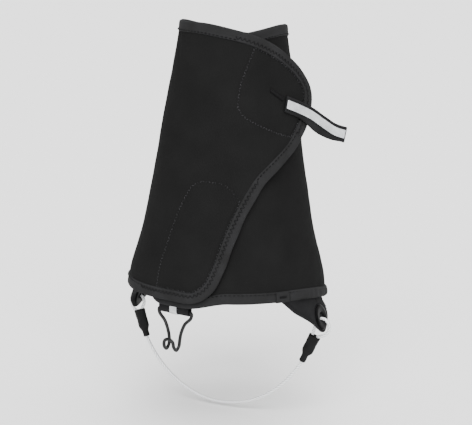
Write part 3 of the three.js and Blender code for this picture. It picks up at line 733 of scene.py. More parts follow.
@dataclass(frozen=True)
class Textile:
    """A woven or knitted textile.

    thread is the spacing of its ridges in mm, relief how far they stand up in mm.
    """

    name: str
    dark: str
    light: str
    thread: float
    relief: float
    weave: Weave = Weave.PLAIN
    roughness: float = 0.85
    sheen: float = 0.25
    on_cloth: bool = True
    blotch: float = 14.0
    gloss: float = 0.1

    def build(self) -> Material:
        """Make the material.

        Returns:
            The material.
        """
        material, tree = blank_material(self.name)
        space = pattern_space(tree, self.on_cloth)
        ridges = [self.ridge(tree, space, angle) for angle in self.weave.value]
        crossing = add_node(tree, "ShaderNodeMath", {"operation": "MAXIMUM"}, dict(enumerate(ridges)))
        fluff = blotches(tree, space, self.thread * 0.6, 3.0)
        height = add_node(
            tree, "ShaderNodeMath", {"operation": "MULTIPLY"}, {0: crossing, 1: fluff.outputs["Fac"]}
        )
        bump = add_node(
            tree, "ShaderNodeBump", {"Strength": 0.8, "Distance": self.relief * MM}, {"Height": height}
        )
        # Blotches of tone; on the patch thread these blotches are painted highlights on the stitches.
        wear = blotches(tree, space, self.blotch)
        mixed = add_node(
            tree, "ShaderNodeMath", {"operation": "MULTIPLY_ADD", 1: 0.35},
            {0: height, 2: wear.outputs["Fac"]},
        )
        colour = shaded(tree, mixed.outputs[0], self.dark, self.light, 0.35, 0.85)
        shader = add_node(
            tree, "ShaderNodeBsdfPrincipled",
            {"Roughness": self.roughness, "Sheen Weight": self.sheen, "Sheen Roughness": 0.45,
             "Specular IOR Level": self.gloss},
            {"Base Color": colour, "Normal": bump.outputs["Normal"]},
        )
        surface_output(tree, shader)
        return material

    def ridge(self, tree: Tree, space: Socket, angle: float) -> Socket:
        """Waves one thread apart, turned by an angle in degrees.

        Args:
            tree: The material's tree.
            space: Places in metres.
            angle: The turn.

        Returns:
            The height of the waves, from 0 to 1.
        """
        turned = add_node(
            tree, "ShaderNodeMapping", {"Rotation": (0.0, 0.0, float(np.radians(angle)))}, {"Vector": space}
        )
        wave = add_node(
            tree, "ShaderNodeTexWave",
            {"Scale": np.pi / 10 / (self.thread * MM), "Distortion": 0.6, "Detail": 1.0},
            {"Vector": turned.outputs["Vector"]},
        )
        return wave.outputs["Fac"]


@dataclass(frozen=True)
class Coating:
    """A painted, anodised or moulded hard surface. grain is the size of its texture in mm."""

    name: str
    dark: str
    light: str
    roughness: float
    metallic: float = 0.0
    grain: float = 0.8
    relief: float = 0.02
    coat: float = 0.0
    gloss: float = 0.5

    def build(self) -> Material:
        """Make the material.

        Returns:
            The material.
        """
        material, tree = blank_material(self.name)
        space = pattern_space(tree, False)
        grain = blotches(tree, space, self.grain, 3.0)
        wear = blotches(tree, space, self.grain * 7)
        bump = add_node(
            tree, "ShaderNodeBump", {"Strength": 0.6, "Distance": self.relief * MM},
            {"Height": grain.outputs["Fac"]},
        )
        rough = add_node(
            tree, "ShaderNodeMapRange", {"To Min": self.roughness - 0.08, "To Max": self.roughness + 0.1},
            {"Value": wear.outputs["Fac"]},
        )
        colour = shaded(tree, wear.outputs["Fac"], self.dark, self.light, 0.3, 0.7)
        shader = add_node(
            tree, "ShaderNodeBsdfPrincipled",
            {"Metallic": self.metallic, "Coat Weight": self.coat, "Coat Roughness": 0.12,
             "Specular IOR Level": self.gloss},
            {"Base Color": colour, "Roughness": rough.outputs["Result"], "Normal": bump.outputs["Normal"]},
        )
        surface_output(tree, shader)
        return material


@dataclass(frozen=True)
class StrandedCable:
    """Stranded stainless cable under a clear nylon coat: pale ribs that wind round it, under gloss."""

    name: str = "Nylon-coated stranded stainless steel"
    dark: str = "#b9bbbd"
    light: str = "#f3f4f5"
    lay: float = 2.6
    around: float = 7.1

    def build(self) -> Material:
        """Make the material.

        Returns:
            The material.
        """
        material, tree = blank_material(self.name)
        space = pattern_space(tree, True)
        slant = float(np.arctan2(self.around, 2 * self.lay))
        turned = add_node(tree, "ShaderNodeMapping", {"Rotation": (0.0, 0.0, slant)}, {"Vector": space})
        strands = add_node(
            tree, "ShaderNodeTexWave", {"Scale": np.pi / 10 / (self.lay * 0.55 * MM), "Distortion": 0.3},
            {"Vector": turned.outputs["Vector"]},
        )
        bump = add_node(
            tree, "ShaderNodeBump", {"Strength": 0.5, "Distance": 0.06 * MM},
            {"Height": strands.outputs["Fac"]},
        )
        colour = shaded(tree, strands.outputs["Fac"], self.dark, self.light, 0.1, 0.7)
        shader = add_node(
            tree, "ShaderNodeBsdfPrincipled",
            {"Metallic": 0.15, "Roughness": 0.38, "Coat Weight": 0.5, "Coat Roughness": 0.15},
            {"Base Color": colour, "Normal": bump.outputs["Normal"]},
        )
        surface_output(tree, shader)
        return material


@dataclass(frozen=True)
class BeadedTape:
    """Retroreflective tape: glass beads on a silver ground, seen as an even pale grey with a fine grain."""

    name: str = "Glass-bead retroreflective tape"
    dark: str = "#a9abae"
    light: str = "#d4d6d8"
    bead: float = 0.9

    def build(self) -> Material:
        """Make the material.

        Returns:
            The material.
        """
        material, tree = blank_material(self.name)
        space = pattern_space(tree, True)
        # Real beads are under 0.1 mm, so they are drawn at 0.9 mm to show.
        beads = add_node(tree, "ShaderNodeTexVoronoi", {"Scale": 1 / (self.bead * MM)}, {"Vector": space})
        soft = blotches(tree, space, 9.0)
        blend = add_node(
            tree, "ShaderNodeMath", {"operation": "MULTIPLY_ADD", 1: -0.25},
            {0: beads.outputs["Distance"], 2: soft.outputs["Fac"]},
        )
        bump = add_node(
            tree, "ShaderNodeBump", {"Strength": 0.35, "Distance": 0.05 * MM, "invert": True},
            {"Height": beads.outputs["Distance"]},
        )
        colour = shaded(tree, blend.outputs[0], self.dark, self.light, 0.15, 0.6)
        shader = add_node(
            tree, "ShaderNodeBsdfPrincipled", {"Metallic": 0.3, "Roughness": 0.42},
            {"Base Color": colour, "Normal": bump.outputs["Normal"]},
        )
        surface_output(tree, shader)
        return material


class Slot(Enum):
    """The record's material slots, each with the finish that its pieces take."""

    SHELL = "shell_fabric"
    BINDING = "binding_tape"
    HOOK = "hook_tape"
    LOOP = "loop_tape"
    WEBBING = "webbing"
    SEAM = "seam_tape"
    ELASTIC = "elastic_band"
    THREAD = "thread"
    REFLECTIVE = "reflective"
    GROMMET = "grommet_metal"
    WIRE = "hook_wire"
    CABLE = "coated_cable"
    CRIMP = "crimp_alloy"
    SHRINK = "heat_shrink"


# What each finish gives the eye. Real threads are 0.2 to 0.5 mm apart, and are drawn about 1 mm apart
# to show.
FINISHES = {
    # Softshell: a stretch twill with a matt, faintly fuzzy face.
    Slot.SHELL: Textile("Stretch-woven softshell", "#131313", "#171717", 0.9, 0.12, Weave.TWILL, 0.92, 0.0,
                        blotch=26.0, gloss=0.04),
    # Knitted stretch binding: smoother and a little paler than the shell.
    Slot.BINDING: Textile("Knitted stretch binding", "#191919", "#222223", 0.8, 0.12, Weave.RIB, 0.88, 0.0),
    # Hook tape: stiff moulded nylon, slightly shiny. Loop tape: brushed, matt and paler.
    Slot.HOOK: Textile("Moulded nylon hook tape", "#121213", "#1b1b1c", 1.2, 0.3, Weave.PLAIN, 0.7, 0.0),
    Slot.LOOP: Textile("Brushed nylon loop tape", "#161617", "#222223", 1.0, 0.35, Weave.PLAIN, 0.95, 0.05),
    # Flat woven webbing with a diagonal rib, also the tabs' coated face.
    Slot.WEBBING: Textile("Woven polyester webbing", "#131314", "#1c1c1d", 1.0, 0.16, Weave.TWILL, 0.88, 0.0),
    # Film-backed tape over the back seam: smooth, a little glossier than the cloth.
    Slot.SEAM: Textile("Bonded seam tape", "#131314", "#191919", 0.9, 0.02, Weave.PLAIN, 0.6, 0.0,
                       on_cloth=False),
    # Braided rubber and polyester: matt, with ridges across.
    Slot.ELASTIC: Textile("Braided elastic", "#19191a", "#242425", 1.1, 0.1, Weave.RIB, 0.9, 0.02,
                          on_cloth=False),
    # Bonded thread: darker and smoother than what it joins.
    Slot.THREAD: Textile("Bonded polyester thread", "#060606", "#0f0f10", 0.4, 0.03, Weave.RIB, 0.6, 0.0,
                         on_cloth=False, gloss=0.08),
    Slot.REFLECTIVE: BeadedTape(),
    # Black-lacquered brass: a satin coat with a soft highlight on the rolled edge.
    Slot.GROMMET: Coating("Black-lacquered brass", "#060606", "#0b0b0c", 0.3, 0.0, 0.6, 0.01, gloss=0.035),
    # Black-coated spring steel: half matt, with thin highlights along the bends.
    Slot.WIRE: Coating("Black-coated spring steel wire", "#0c0c0d", "#1a1a1b", 0.35, 0.0, 0.7, 0.015,
                       gloss=0.2),
    Slot.CABLE: StrandedCable(),
    # Bare aluminium, dulled where the crimp pressed it.
    Slot.CRIMP: Coating("Crimped aluminium", "#9c9da0", "#b9babd", 0.4, 1.0, 0.5, 0.03),
    # Heat-shrink polyolefin: black, half matt, faintly dimpled where it has drawn down.
    Slot.SHRINK: Coating("Heat-shrink polyolefin", "#0a0a0a", "#111112", 0.6, 0.0, 1.4, 0.12, gloss=0.12),
}


# The same thread round the patches, with painted highlights: small blotches from near black to pale grey make
# some stitches look lit and others shaded.
PATCH_THREAD_PAINTED_GLINTS = Textile("Lustrous polyester thread", "#040404", "#363638", 0.4, 0.03, Weave.RIB, 0.6, 0.0,
                       on_cloth=False, blotch=2.4)


class Finisher:
    """Dresses pieces and CAD nodes."""

    def __init__(self) -> None:
        """Make each material once."""
        self.materials = {slot: finish.build() for slot, finish in FINISHES.items()}
        self.patch_thread_painted_glints = PATCH_THREAD_PAINTED_GLINTS.build()

    def dress(self, piece: Piece, slot: Slot, *nodes: str) -> Piece:
        """Give a new piece its finish, and hide the CAD nodes that it stands for.

        Args:
            piece: The piece.
            slot: Its material slot.
            nodes: CAD nodes that it replaces.

        Returns:
            The same piece.
        """
        piece.data.materials.clear()
        piece.data.materials.append(self.materials[slot])
        if nodes:
            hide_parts(*nodes)
        LOG.info("%s: %s, %d faces", piece.name, slot.value, len(piece.data.polygons))
        return piece

    def keep(self, node: str, slot: Slot) -> None:
        """Give a CAD node that stays its finish."""
        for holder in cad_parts[node].material_slots:
            holder.material = self.materials[slot]


# ---- stitches


@dataclass(frozen=True)
class Stitch:
    """One kind of stitching, in mm and degrees."""

    pitch: float = 2.4
    length: float = 2.0
    thread: float = 0.24
    zigzag: float = 0.0
    seed: int = 3


class Sewing:
    """A Geometry Nodes tree that lays thread along seam lines, and the method that runs it."""

    def __init__(self, thread: Material) -> None:
        """Build the tree.

        Args:
            thread: The thread's material.
        """
        self.tree = bpy.data.node_groups.new("Seam stitches", "GeometryNodeTree")
        self.sockets = {}
        self.tree.interface.new_socket("Seams", in_out="INPUT", socket_type="NodeSocketGeometry")
        for name in ("Pitch", "Stitch length", "Thread radius", "Zigzag angle"):
            socket = self.tree.interface.new_socket(name, in_out="INPUT", socket_type="NodeSocketFloat")
            self.sockets[name] = socket.identifier
        seed = self.tree.interface.new_socket("Seed", in_out="INPUT", socket_type="NodeSocketInt")
        self.sockets["Seed"] = seed.identifier
        self.tree.interface.new_socket("Thread", in_out="OUTPUT", socket_type="NodeSocketGeometry")
        self.wire(thread)

    def wire(self, thread: Material) -> None:
        """Add the tree's nodes.

        Args:
            thread: The finish of the stitches.
        """
        tree = self.tree
        given = add_node(tree, "NodeGroupInput").outputs
        curve = add_node(tree, "GeometryNodeMeshToCurve", links={"Mesh": given["Seams"]})
        spaced = add_node(
            tree, "GeometryNodeResampleCurve", {"mode": "LENGTH"},
            {"Curve": curve, "Length": given["Pitch"]},
        )
        off_face = add_node(
            tree, "GeometryNodeInputNamedAttribute", {"data_type": "FLOAT_VECTOR", "Name": "off_face"}
        )
        upright = add_node(
            tree, "FunctionNodeAlignRotationToVector", {"axis": "Z"},
            {"Vector": off_face.outputs["Attribute"]},
        )
        tangent = add_node(tree, "GeometryNodeInputTangent")
        along = add_node(
            tree, "FunctionNodeAlignRotationToVector", {"axis": "X", "pivot_axis": "Z"},
            {"Rotation": upright, "Vector": tangent},
        )
        index = add_node(tree, "GeometryNodeInputIndex")
        parity = add_node(tree, "ShaderNodeMath", {"operation": "MODULO", 1: 2.0}, {0: index})
        side = add_node(
            tree, "ShaderNodeMath", {"operation": "MULTIPLY_ADD", 1: 2.0, 2: -1.0}, {0: parity}
        )
        swing = add_node(
            tree, "ShaderNodeMath", {"operation": "MULTIPLY"}, {0: side, 1: given["Zigzag angle"]}
        )
        slack = add_node(tree, "FunctionNodeRandomValue", {"data_type": "FLOAT"}, {"Seed": given["Seed"]})
        slack.inputs[2].default_value = -0.09
        slack.inputs[3].default_value = 0.09
        angle = add_node(tree, "ShaderNodeMath", {"operation": "ADD"}, {0: swing, 1: slack.outputs[1]})
        turn = add_node(
            tree, "FunctionNodeAxisAngleToRotation", {"Axis": (0.0, 0.0, 1.0)}, {"Angle": angle}
        )
        facing = add_node(
            tree, "FunctionNodeRotateRotation", {"rotation_space": "LOCAL"},
            {"Rotation": along, "Rotate By": turn},
        )
        half = add_node(
            tree, "ShaderNodeMath", {"operation": "MULTIPLY", 1: 0.5}, {0: given["Stitch length"]}
        )
        size = add_node(
            tree, "ShaderNodeCombineXYZ", links={"X": half, "Y": given["Thread radius"],
                                                 "Z": given["Thread radius"]},
        )
        bead = add_node(tree, "GeometryNodeMeshUVSphere", {"Segments": 6, "Rings": 5, "Radius": 1.0})
        placed = add_node(
            tree, "GeometryNodeInstanceOnPoints",
            links={"Points": spaced, "Instance": bead.outputs["Mesh"],
                   "Rotation": facing, "Scale": size},
        )
        real = add_node(tree, "GeometryNodeRealizeInstances", links={"Geometry": placed})
        finished = add_node(tree, "GeometryNodeSetMaterial", {"Material": thread}, {"Geometry": real})
        add_node(tree, "NodeGroupOutput", links={"Thread": finished})

    def sew(self, name: str, seams: Sequence[tuple[Array, Array]], stitch: Stitch) -> Piece:
        """Lay stitches along seam lines.

        Args:
            name: The piece's name.
            seams: For each seam its points in mm and the directions off its face.
            stitch: The kind of stitching.

        Returns:
            A plain mesh of thread.
        """
        points = np.vstack([line for line, _ in seams])
        off_face = np.vstack([unit(away) for _, away in seams])
        edges = []
        start = 0
        for line, _ in seams:
            edges += [(start + i, start + i + 1) for i in range(len(line) - 1)]
            start += len(line)
        mesh = bpy.data.meshes.new(name)
        mesh.from_pydata((points * MM).tolist(), edges, [])
        layer = mesh.attributes.new("off_face", "FLOAT_VECTOR", "POINT")
        layer.data.foreach_set("vector", off_face.astype(np.float32).ravel())
        guide = bpy.data.objects.new(name, mesh)
        bpy.context.collection.objects.link(guide)
        modifier = guide.modifiers.new("Stitches", "NODES")
        modifier.node_group = self.tree
        modifier[self.sockets["Pitch"]] = stitch.pitch * MM
        modifier[self.sockets["Stitch length"]] = stitch.length * MM
        modifier[self.sockets["Thread radius"]] = stitch.thread * MM
        modifier[self.sockets["Zigzag angle"]] = float(np.radians(stitch.zigzag))
        modifier[self.sockets["Seed"]] = stitch.seed
        evaluated = guide.evaluated_get(bpy.context.evaluated_depsgraph_get())
        thread = bpy.data.meshes.new_from_object(evaluated)
        guide.modifiers.remove(modifier)
        guide.data = thread
        thread.shade_smooth()
        return guide


# ---- cloth


def band_section(width: float, half: float, valley: float) -> Array:
    """Section of folded binding, with a soft valley under its seam on both faces.

    Args:
        width: The binding's width.
        half: Half its thickness over the cloth.
        valley: How deep the seam draws it in.

    Returns:
        Points with x out of the cloth's edge, y off its middle.
    """
    across = np.linspace(0.0, 1.0, 15)
    dip = valley * np.exp(-(((across - 0.3) * width / 1.6) ** 2))
    crown = half * (1 - 0.1 * np.abs(across - 0.45) ** 2) - dip
    round_edge = np.sqrt(np.clip(1 - ((across * width - width + 1.1) / 1.1).clip(0) ** 2, 0.02, 1))
    lip = 0.55 + 0.45 * ease(across * width / 0.9)
    face = crown * round_edge * lip
    x = (across - 1) * width
    return np.vstack([np.column_stack([x, -face]), np.column_stack([x[::-1], face[::-1]])])


@dataclass(frozen=True)
class PatchShape:
    """Where a hook-and-loop patch lies, as columns of azimuth, low and high."""

    columns: Array

    def outline(self) -> Path:
        """The patch's edge as a closed path.

        Returns:
            Azimuth in degrees and height in mm at each point.
        """
        low = self.columns[:, :2]
        high = self.columns[::-1, [0, 2]]
        return np.vstack([low, high, low[:1]])

    def covers(self, azimuth: Array, z: Array) -> Array:
        """True at the places inside the patch.

        Args:
            azimuth: Degrees from the toes.
            z: Heights in mm.

        Returns:
            True or False for each place.
        """
        low = np.interp(azimuth, self.columns[:, 0], self.columns[:, 1])
        high = np.interp(azimuth, self.columns[:, 0], self.columns[:, 2])
        within = (azimuth > self.columns[0, 0]) & (azimuth < self.columns[-1, 0])
        return within & (z > low) & (z < high)


class FlapShape:
    """The flap's edge as lines of low and high heights, and the patches that lie within it."""

    upper_top = [(28.2, 0.727), (30.5, 0.79), (34, 0.831), (40.5, 0.89), (46, 0.94)]
    upper_bottom = [(28.2, 0.712), (32.3, 0.683), (47.5, 0.644), (65.2, 0.613), (85, 0.59)]
    lower_top = [
        (-19, 0.16), (-13.3, 0.31), (-6.9, 0.398), (-3, 0.432), (4.9, 0.45), (11.3, 0.448), (21, 0.437),
        (29.8, 0.393), (38, 0.33),
    ]

    def __init__(self, surface: BodySurface, rims: Rims, seams: Seamwork, binding_width: float) -> None:
        """Keep the surface, its rims and the binding's width in mm.

        Args:
            surface: The cone and the flap.
            rims: The cloth's edges.
            seams: Measures on the cloth.
            binding_width: In mm.
        """
        self.surface = surface
        self.rims = rims
        self.seams = seams
        self.binding_width = binding_width

    def bounds(self, inset: float) -> tuple[Path, Path]:
        """The flap's edge moved in, split at its tip into an upper and a lower line that rise in azimuth.

        Args:
            inset: How far in, in mm.

        Returns:
            The upper line and the lower line.
        """
        moved = self.seams.stepped(self.rims.flap_edge(), -inset)
        tip = int(np.argmax(moved[:, 0]))
        return moved[: tip + 1], moved[tip:][::-1]

    def between(self, azimuth: Array, low: Callable, high: Callable) -> PatchShape:
        """The patch between two lines, as far as they stay apart."""
        columns = np.column_stack([azimuth, low(azimuth), high(azimuth)])
        return PatchShape(columns[columns[:, 2] - columns[:, 1] > 1.5])

    def free_line(self, shape: Sequence[tuple[float, float]]) -> Callable:
        """Height at each azimuth of a patch's free edge."""
        line = smooth_curve([(a, s * self.surface.height) for a, s in shape], 60)
        return lambda azimuth: np.interp(azimuth, line[:, 0], line[:, 1])

    def upper_patch(self, inset: float = 0.0) -> PatchShape:
        """The patch under the lobe, made smaller by an inset in mm.

        Args:
            inset: How much smaller all round.

        Returns:
            The patch.
        """
        high_edge, low_edge = self.bounds(self.binding_width + 0.35 + inset)
        bottom = self.free_line(self.upper_bottom)
        top = self.free_line(self.upper_top)
        last = self.upper_top[-1][0]

        def high(azimuth: Array) -> Array:
            """The patch's upper edge."""
            free = np.where(azimuth < last, top(azimuth), 1e3)
            return np.minimum(np.interp(azimuth, high_edge[:, 0], high_edge[:, 1]), free)

        def low(azimuth: Array) -> Array:
            """The patch's lower edge."""
            return np.maximum(np.interp(azimuth, low_edge[:, 0], low_edge[:, 1]), bottom(azimuth))

        start = self.upper_top[0][0] + inset
        tip = high_edge[-1, 0]
        return self.between(np.linspace(start, tip - 0.3, 70), low, high)

    def lower_patch(self, inset: float = 0.0) -> PatchShape:
        """The patch along the flap's slanting edge, made smaller by an inset in mm.

        Args:
            inset: How much smaller all round.

        Returns:
            The patch.
        """
        _, low_edge = self.bounds(self.binding_width + 0.35 + inset)
        top = self.free_line(self.lower_top)
        start = self.lower_top[0][0] + inset
        return self.between(
            np.linspace(start, 45, 70),
            lambda azimuth: np.interp(azimuth, low_edge[:, 0], low_edge[:, 1]),
            lambda azimuth: top(azimuth) - inset,
        )


@dataclass
class Trim:
    """Folded binding round every cloth edge, with its sizes in mm."""

    surface: BodySurface
    seams: Seamwork
    width: float = 7.7
    half: float = 1.45
    valley: float = 0.28
    step: float = 1.1
    wobble: float = 0.16

    def rings(self, path: Path, place: Place, base: float, gather: float = 0.0) -> Array:
        """Rings of the binding along a path.

        Args:
            path: Azimuth and height pairs of the finished edge.
            place: Turns azimuth, height and offset to a point.
            base: Offset of the cloth's middle.
            gather: How far an elastic inside puffs its face, in mm.

        Returns:
            The rings, in mm.
        """
        line = self.seams.even(path, self.step)
        flat = self.seams.flat(line)
        travelled = np.arange(len(line)) * self.step
        section = np.broadcast_to(band_section(self.width, self.half, self.valley), (len(line), 30, 2)).copy()
        pucker = ripple(travelled, flat[:, 1], 5.3, 0.7)[:, None]
        drift = ripple(travelled, flat[:, 1], 37.0, 1.9)[:, None]
        share = 1 + section[..., 0] / self.width
        lift = (pucker * self.wobble * (1 - share) + drift * 0.22 * share) * np.sign(section[..., 1])
        if gather:
            ends = ease(travelled / 14) * ease((travelled[-1] - travelled) / 14)
            folds = 0.5 + 0.5 * ripple(travelled, 0 * travelled, 6.1, 2.2)
            puff = gather * ends * (0.35 + 0.65 * folds)
            crown = np.sin(np.pi * np.clip(share, 0, 1)) ** 0.7
            lift = lift + np.where(section[..., 1] > 0, puff[:, None] * crown, 0)
            section[..., 0] += (ends * (folds - 0.5) * 0.7)[:, None] * share
        section[..., 0] += drift * 0.25 * (section[..., 0] > -self.width * 0.4)
        section[..., 1] += lift + base
        return self.seams.rings(line, place, section)

    def seam(self, path: Path, place: Place, base: float, depth: float, side: float = 1.0) -> tuple:
        """A stitch line on the binding.

        Args:
            path: Azimuth and height pairs of the finished edge.
            place: Turns azimuth, height and offset to a point.
            base: Offset of the cloth's middle.
            depth: How far in from the edge the line runs.
            side: 1 for the outer face, -1 for the inner one.

        Returns:
            The line's points and the directions off its face.
        """
        line = self.seams.stepped(self.seams.even(path, 1.0), -depth)
        height = base + side * (self.half - 0.12)
        points = place(line[:, 0], line[:, 1], np.full(len(line), height))
        above = place(line[:, 0], line[:, 1], np.full(len(line), height + side))
        return points, above - points


class Wrap:
    """The cloth and its bindings: the outer piece with the flap, and the underlap that it closes over."""

    hinge_reach = 5.0
    cloth_inset = 2.2

    def __init__(self, finisher: Finisher, sewing: Sewing) -> None:
        """Set up the surface that every piece shares.

        Args:
            finisher: Dresses the pieces.
            sewing: Lays the stitches.
        """
        self.surface = BodySurface()
        self.rims = Rims(self.surface)
        self.seams = Seamwork(self.surface)
        self.trim = Trim(self.surface, self.seams)
        self.flap = FlapShape(self.surface, self.rims, self.seams, self.trim.width)
        self.finisher = finisher
        self.sewing = sewing
        self.middle = self.surface.fabric / 2

    def bend(self, piece: Piece) -> Piece:
        """Bake a piece's place into its mesh; it is not bent where the flap folds away, and the hinge point
        worked out here is not used.

        Args:
            piece: A piece of the outer cloth.

        Returns:
            The same piece.
        """
        turn = np.radians(self.surface.hinge)
        hinge = np.array([np.sin(turn), -np.cos(turn), 0.0]) * self.surface.radius(self.surface.height / 2)
        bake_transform(piece)
        return piece

    def fit(self, piece: Piece, slot: Slot, body: str, *nodes: str) -> Piece:
        """Dress a piece, hide the CAD nodes that it stands for, and let it ride a body."""
        self.finisher.dress(piece, slot, *nodes)
        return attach(piece, body)

    def thread(self, name: str, seams: Sequence, stitch: Stitch, body: str = "gaiter", *nodes: str) -> Piece:
        """Lay stitches along seam lines on one body.

        Args:
            name: The piece's name.
            seams: For each seam its points in mm and the directions off its face.
            stitch: The kind of stitching.
            body: The body that it rides.
            nodes: CAD nodes that it replaces.

        Returns:
            The thread.
        """
        return self.fit(self.sewing.sew(name, seams, stitch), Slot.THREAD, body, *nodes)

    def front_columns(self) -> Array:
        """Columns of azimuth, low and high that cover the outer cloth.

        Returns:
            Azimuth in degrees, low and high in mm, one row for each column.
        """
        hinge = self.surface.hinge
        left = np.linspace(-179.95, hinge, 96)
        inset = self.cloth_inset
        side = np.column_stack([left, self.rims.hem(left) + inset, self.rims.left_top(left) - inset])
        high_edge, low_edge = self.flap.bounds(inset)
        tip = high_edge[-1, 0]
        azimuth = np.concatenate([
            np.linspace(hinge + 1.2, tip - 8, 92), tip - 8 * (1 - np.sin(np.linspace(0.12, 1.55, 12))),
        ])
        closed = np.column_stack([
            azimuth, np.interp(azimuth, low_edge[:, 0], low_edge[:, 1]),
            np.interp(azimuth, high_edge[:, 0], high_edge[:, 1]),
        ])
        return np.vstack([side, closed])

    def relief(self, azimuth: Array, z: Array) -> Array:
        """How far the outer face stands off its smooth shape, in mm.

        Args:
            azimuth: Azimuth of each place.
            z: Height of each place.

        Returns:
            The height of soft waves, the sewn patches' outlines and the pressed crease.
        """
        flat = np.radians(azimuth) * self.surface.radius(z)
        height = 0.32 * ripple(flat, z, 61.0, 0.4) + 0.1 * ripple(flat, z, 19.0, 1.3)
        for patch in (self.flap.upper_patch(), self.flap.lower_patch()):
            away = self.seams.distance(azimuth, z, patch.outline())
            inside = patch.covers(azimuth, z)
            height += np.where(inside, 0.3 * ease(away / 3), 0.0)
            height -= 0.7 * np.exp(-((away / 1.4) ** 2))
            height += 0.1 * ripple(flat, z, 5.7, 2.9) * np.exp(-((away / 4.5) ** 2))
        press = smooth_curve([(-43, 188), (-36.5, 172), (-26.4, 153)], 20)
        height -= 0.4 * np.exp(-((self.seams.distance(azimuth, z, press) / 1.8) ** 2))
        return height

    def front_cloth(self) -> Piece:
        """The outer cloth, from the back seam round the left side to the flap's lobe.

        Returns:
            The cloth.
        """
        columns = self.front_columns()
        share = np.linspace(0, 1, 112)[None, :]
        azimuth = np.repeat(columns[:, :1], share.shape[1], axis=1)
        z = columns[:, 1:2] + (columns[:, 2:3] - columns[:, 1:2]) * share
        height = self.relief(azimuth, z)
        outer = self.surface.front(azimuth, z, height + self.surface.fabric)
        inner = self.surface.front(azimuth, z, 0.4 * height)
        uv = np.stack([np.radians(azimuth) * self.surface.radius(z), z], axis=-1)
        piece = cloth_sheet("front_cloth", outer, inner, uv)
        self.finisher.dress(piece, Slot.SHELL, "left_panel", "flap_panel")
        return self.bend(piece)

    def rim_joint(self, path: Path) -> int:
        """The point of the outer cloth's rim, on the lobe's lower side, where its two bindings meet."""
        passed = np.arange(len(path)) > int(np.argmax(path[:, 0]))
        return int(np.argmax(passed & (path[:, 0] < 87) & (path[:, 1] < 0.62 * self.surface.height)))

    def front_rims(self) -> list[Piece]:
        """The outer cloth's binding, in two lengths that meet on the lobe's lower side.

        Returns:
            The upper and the lower binding.
        """
        path = self.rims.front_rim()
        joint = self.rim_joint(path)
        pieces = []
        for name, part, nodes in (
            ("rim_binding_upper", path[: joint + 1], ("top_binding_left", "flap_binding_upper")),
            ("rim_binding_lower", path[joint:], ("flap_binding_lower", "hem_binding_left")),
        ):
            piece = loft(name, self.trim.rings(part, self.surface.front, self.middle))
            self.finisher.dress(piece, Slot.BINDING, *nodes)
            pieces.append(self.bend(piece))
        return pieces

    def front_stitches(self) -> list[Piece]:
        """Thread on the outer cloth: along its bindings and round the patches.

        Returns:
            The zigzag, the straight stitches and the patches' outlines.
        """
        path = self.rims.front_rim()
        joint = self.rim_joint(path)
        plain = joint + int(np.argmax(path[joint:, 1] < 0.44 * self.surface.height))
        lobe_start = int(np.argmax(path[:, 0] > 28))
        back = int(np.argmax(path[:, 0] > -176))
        hinge = joint + int(np.argmax(path[joint:, 0] < self.surface.hinge))
        hem_end = len(path) - 1 - back
        runs = [path[lobe_start:joint], path[plain:hinge]]
        place = self.surface.front
        face = [self.trim.seam(run, place, self.middle, 5.3) for run in runs]
        under = [self.trim.seam(run, place, self.middle, 5.3, -1.0) for run in runs]
        zigzag = self.sewing.sew(
            "rim_zigzag", [*face, *under], Stitch(pitch=1.6, length=3.5, thread=0.24, zigzag=57, seed=7)
        )
        plain_runs = [
            self.trim.seam(run, place, self.middle, 6.6)
            for run in (path[back:lobe_start], path[joint:plain], path[hinge:hem_end])
        ]
        straight = self.sewing.sew(
            "straight_stitches", plain_runs, Stitch(pitch=3.1, length=2.2, thread=0.45, seed=11)
        )
        patches = [self.patch_line(patch) for patch in (self.flap.upper_patch(), self.flap.lower_patch())]
        outlines = self.sewing.sew(
            "patch_zigzag", patches, Stitch(pitch=2.2, length=2.3, thread=0.34, zigzag=42, seed=12)
        )
        pieces = []
        for piece in (zigzag, straight, outlines):
            self.finisher.dress(piece, Slot.THREAD)
            pieces.append(self.bend(piece))
        # The patch outlines take the thread whose pale blotches are painted highlights.
        outlines.data.materials[0] = self.finisher.patch_thread_painted_glints
        return pieces

    def patch_line(self, patch: PatchShape) -> tuple[Array, Array]:
        """A stitch line just inside a patch's outline, on the flap's face.

        Args:
            patch: A patch on the flap.

        Returns:
            Points in mm and directions off the cloth.
        """
        line = self.seams.even(patch.outline(), 1.0)
        height = self.relief(line[:, 0], line[:, 1]) + self.surface.fabric + 0.06
        points = self.surface.front(line[:, 0], line[:, 1], height)
        return points, self.surface.front(line[:, 0], line[:, 1], height + 1) - points

    def underlap_columns(self) -> Array:
        """Columns of azimuth, low and high that cover the underlap.

        Returns:
            Azimuth in degrees, low and high in mm, one row for each column.
        """
        edge = self.rims.underlap_edge + np.degrees(self.cloth_inset / self.surface.top_radius)
        near_edge = edge + 20 * np.linspace(0, 1, 14) ** 1.6
        azimuth = np.concatenate([near_edge, np.linspace(edge + 21.5, 179.95, 104)])
        radius = self.rims.corner_radius - self.cloth_inset
        columns = []
        for line, sign in ((self.rims.underlap_hem, 1), (self.rims.underlap_top, -1)):
            level = line(azimuth)
            within = np.clip(radius - np.radians(azimuth - edge) * self.surface.radius(level), 0, radius)
            columns.append(level + sign * (self.cloth_inset + radius - np.sqrt(radius**2 - within**2)))
        return np.column_stack([azimuth, *columns])

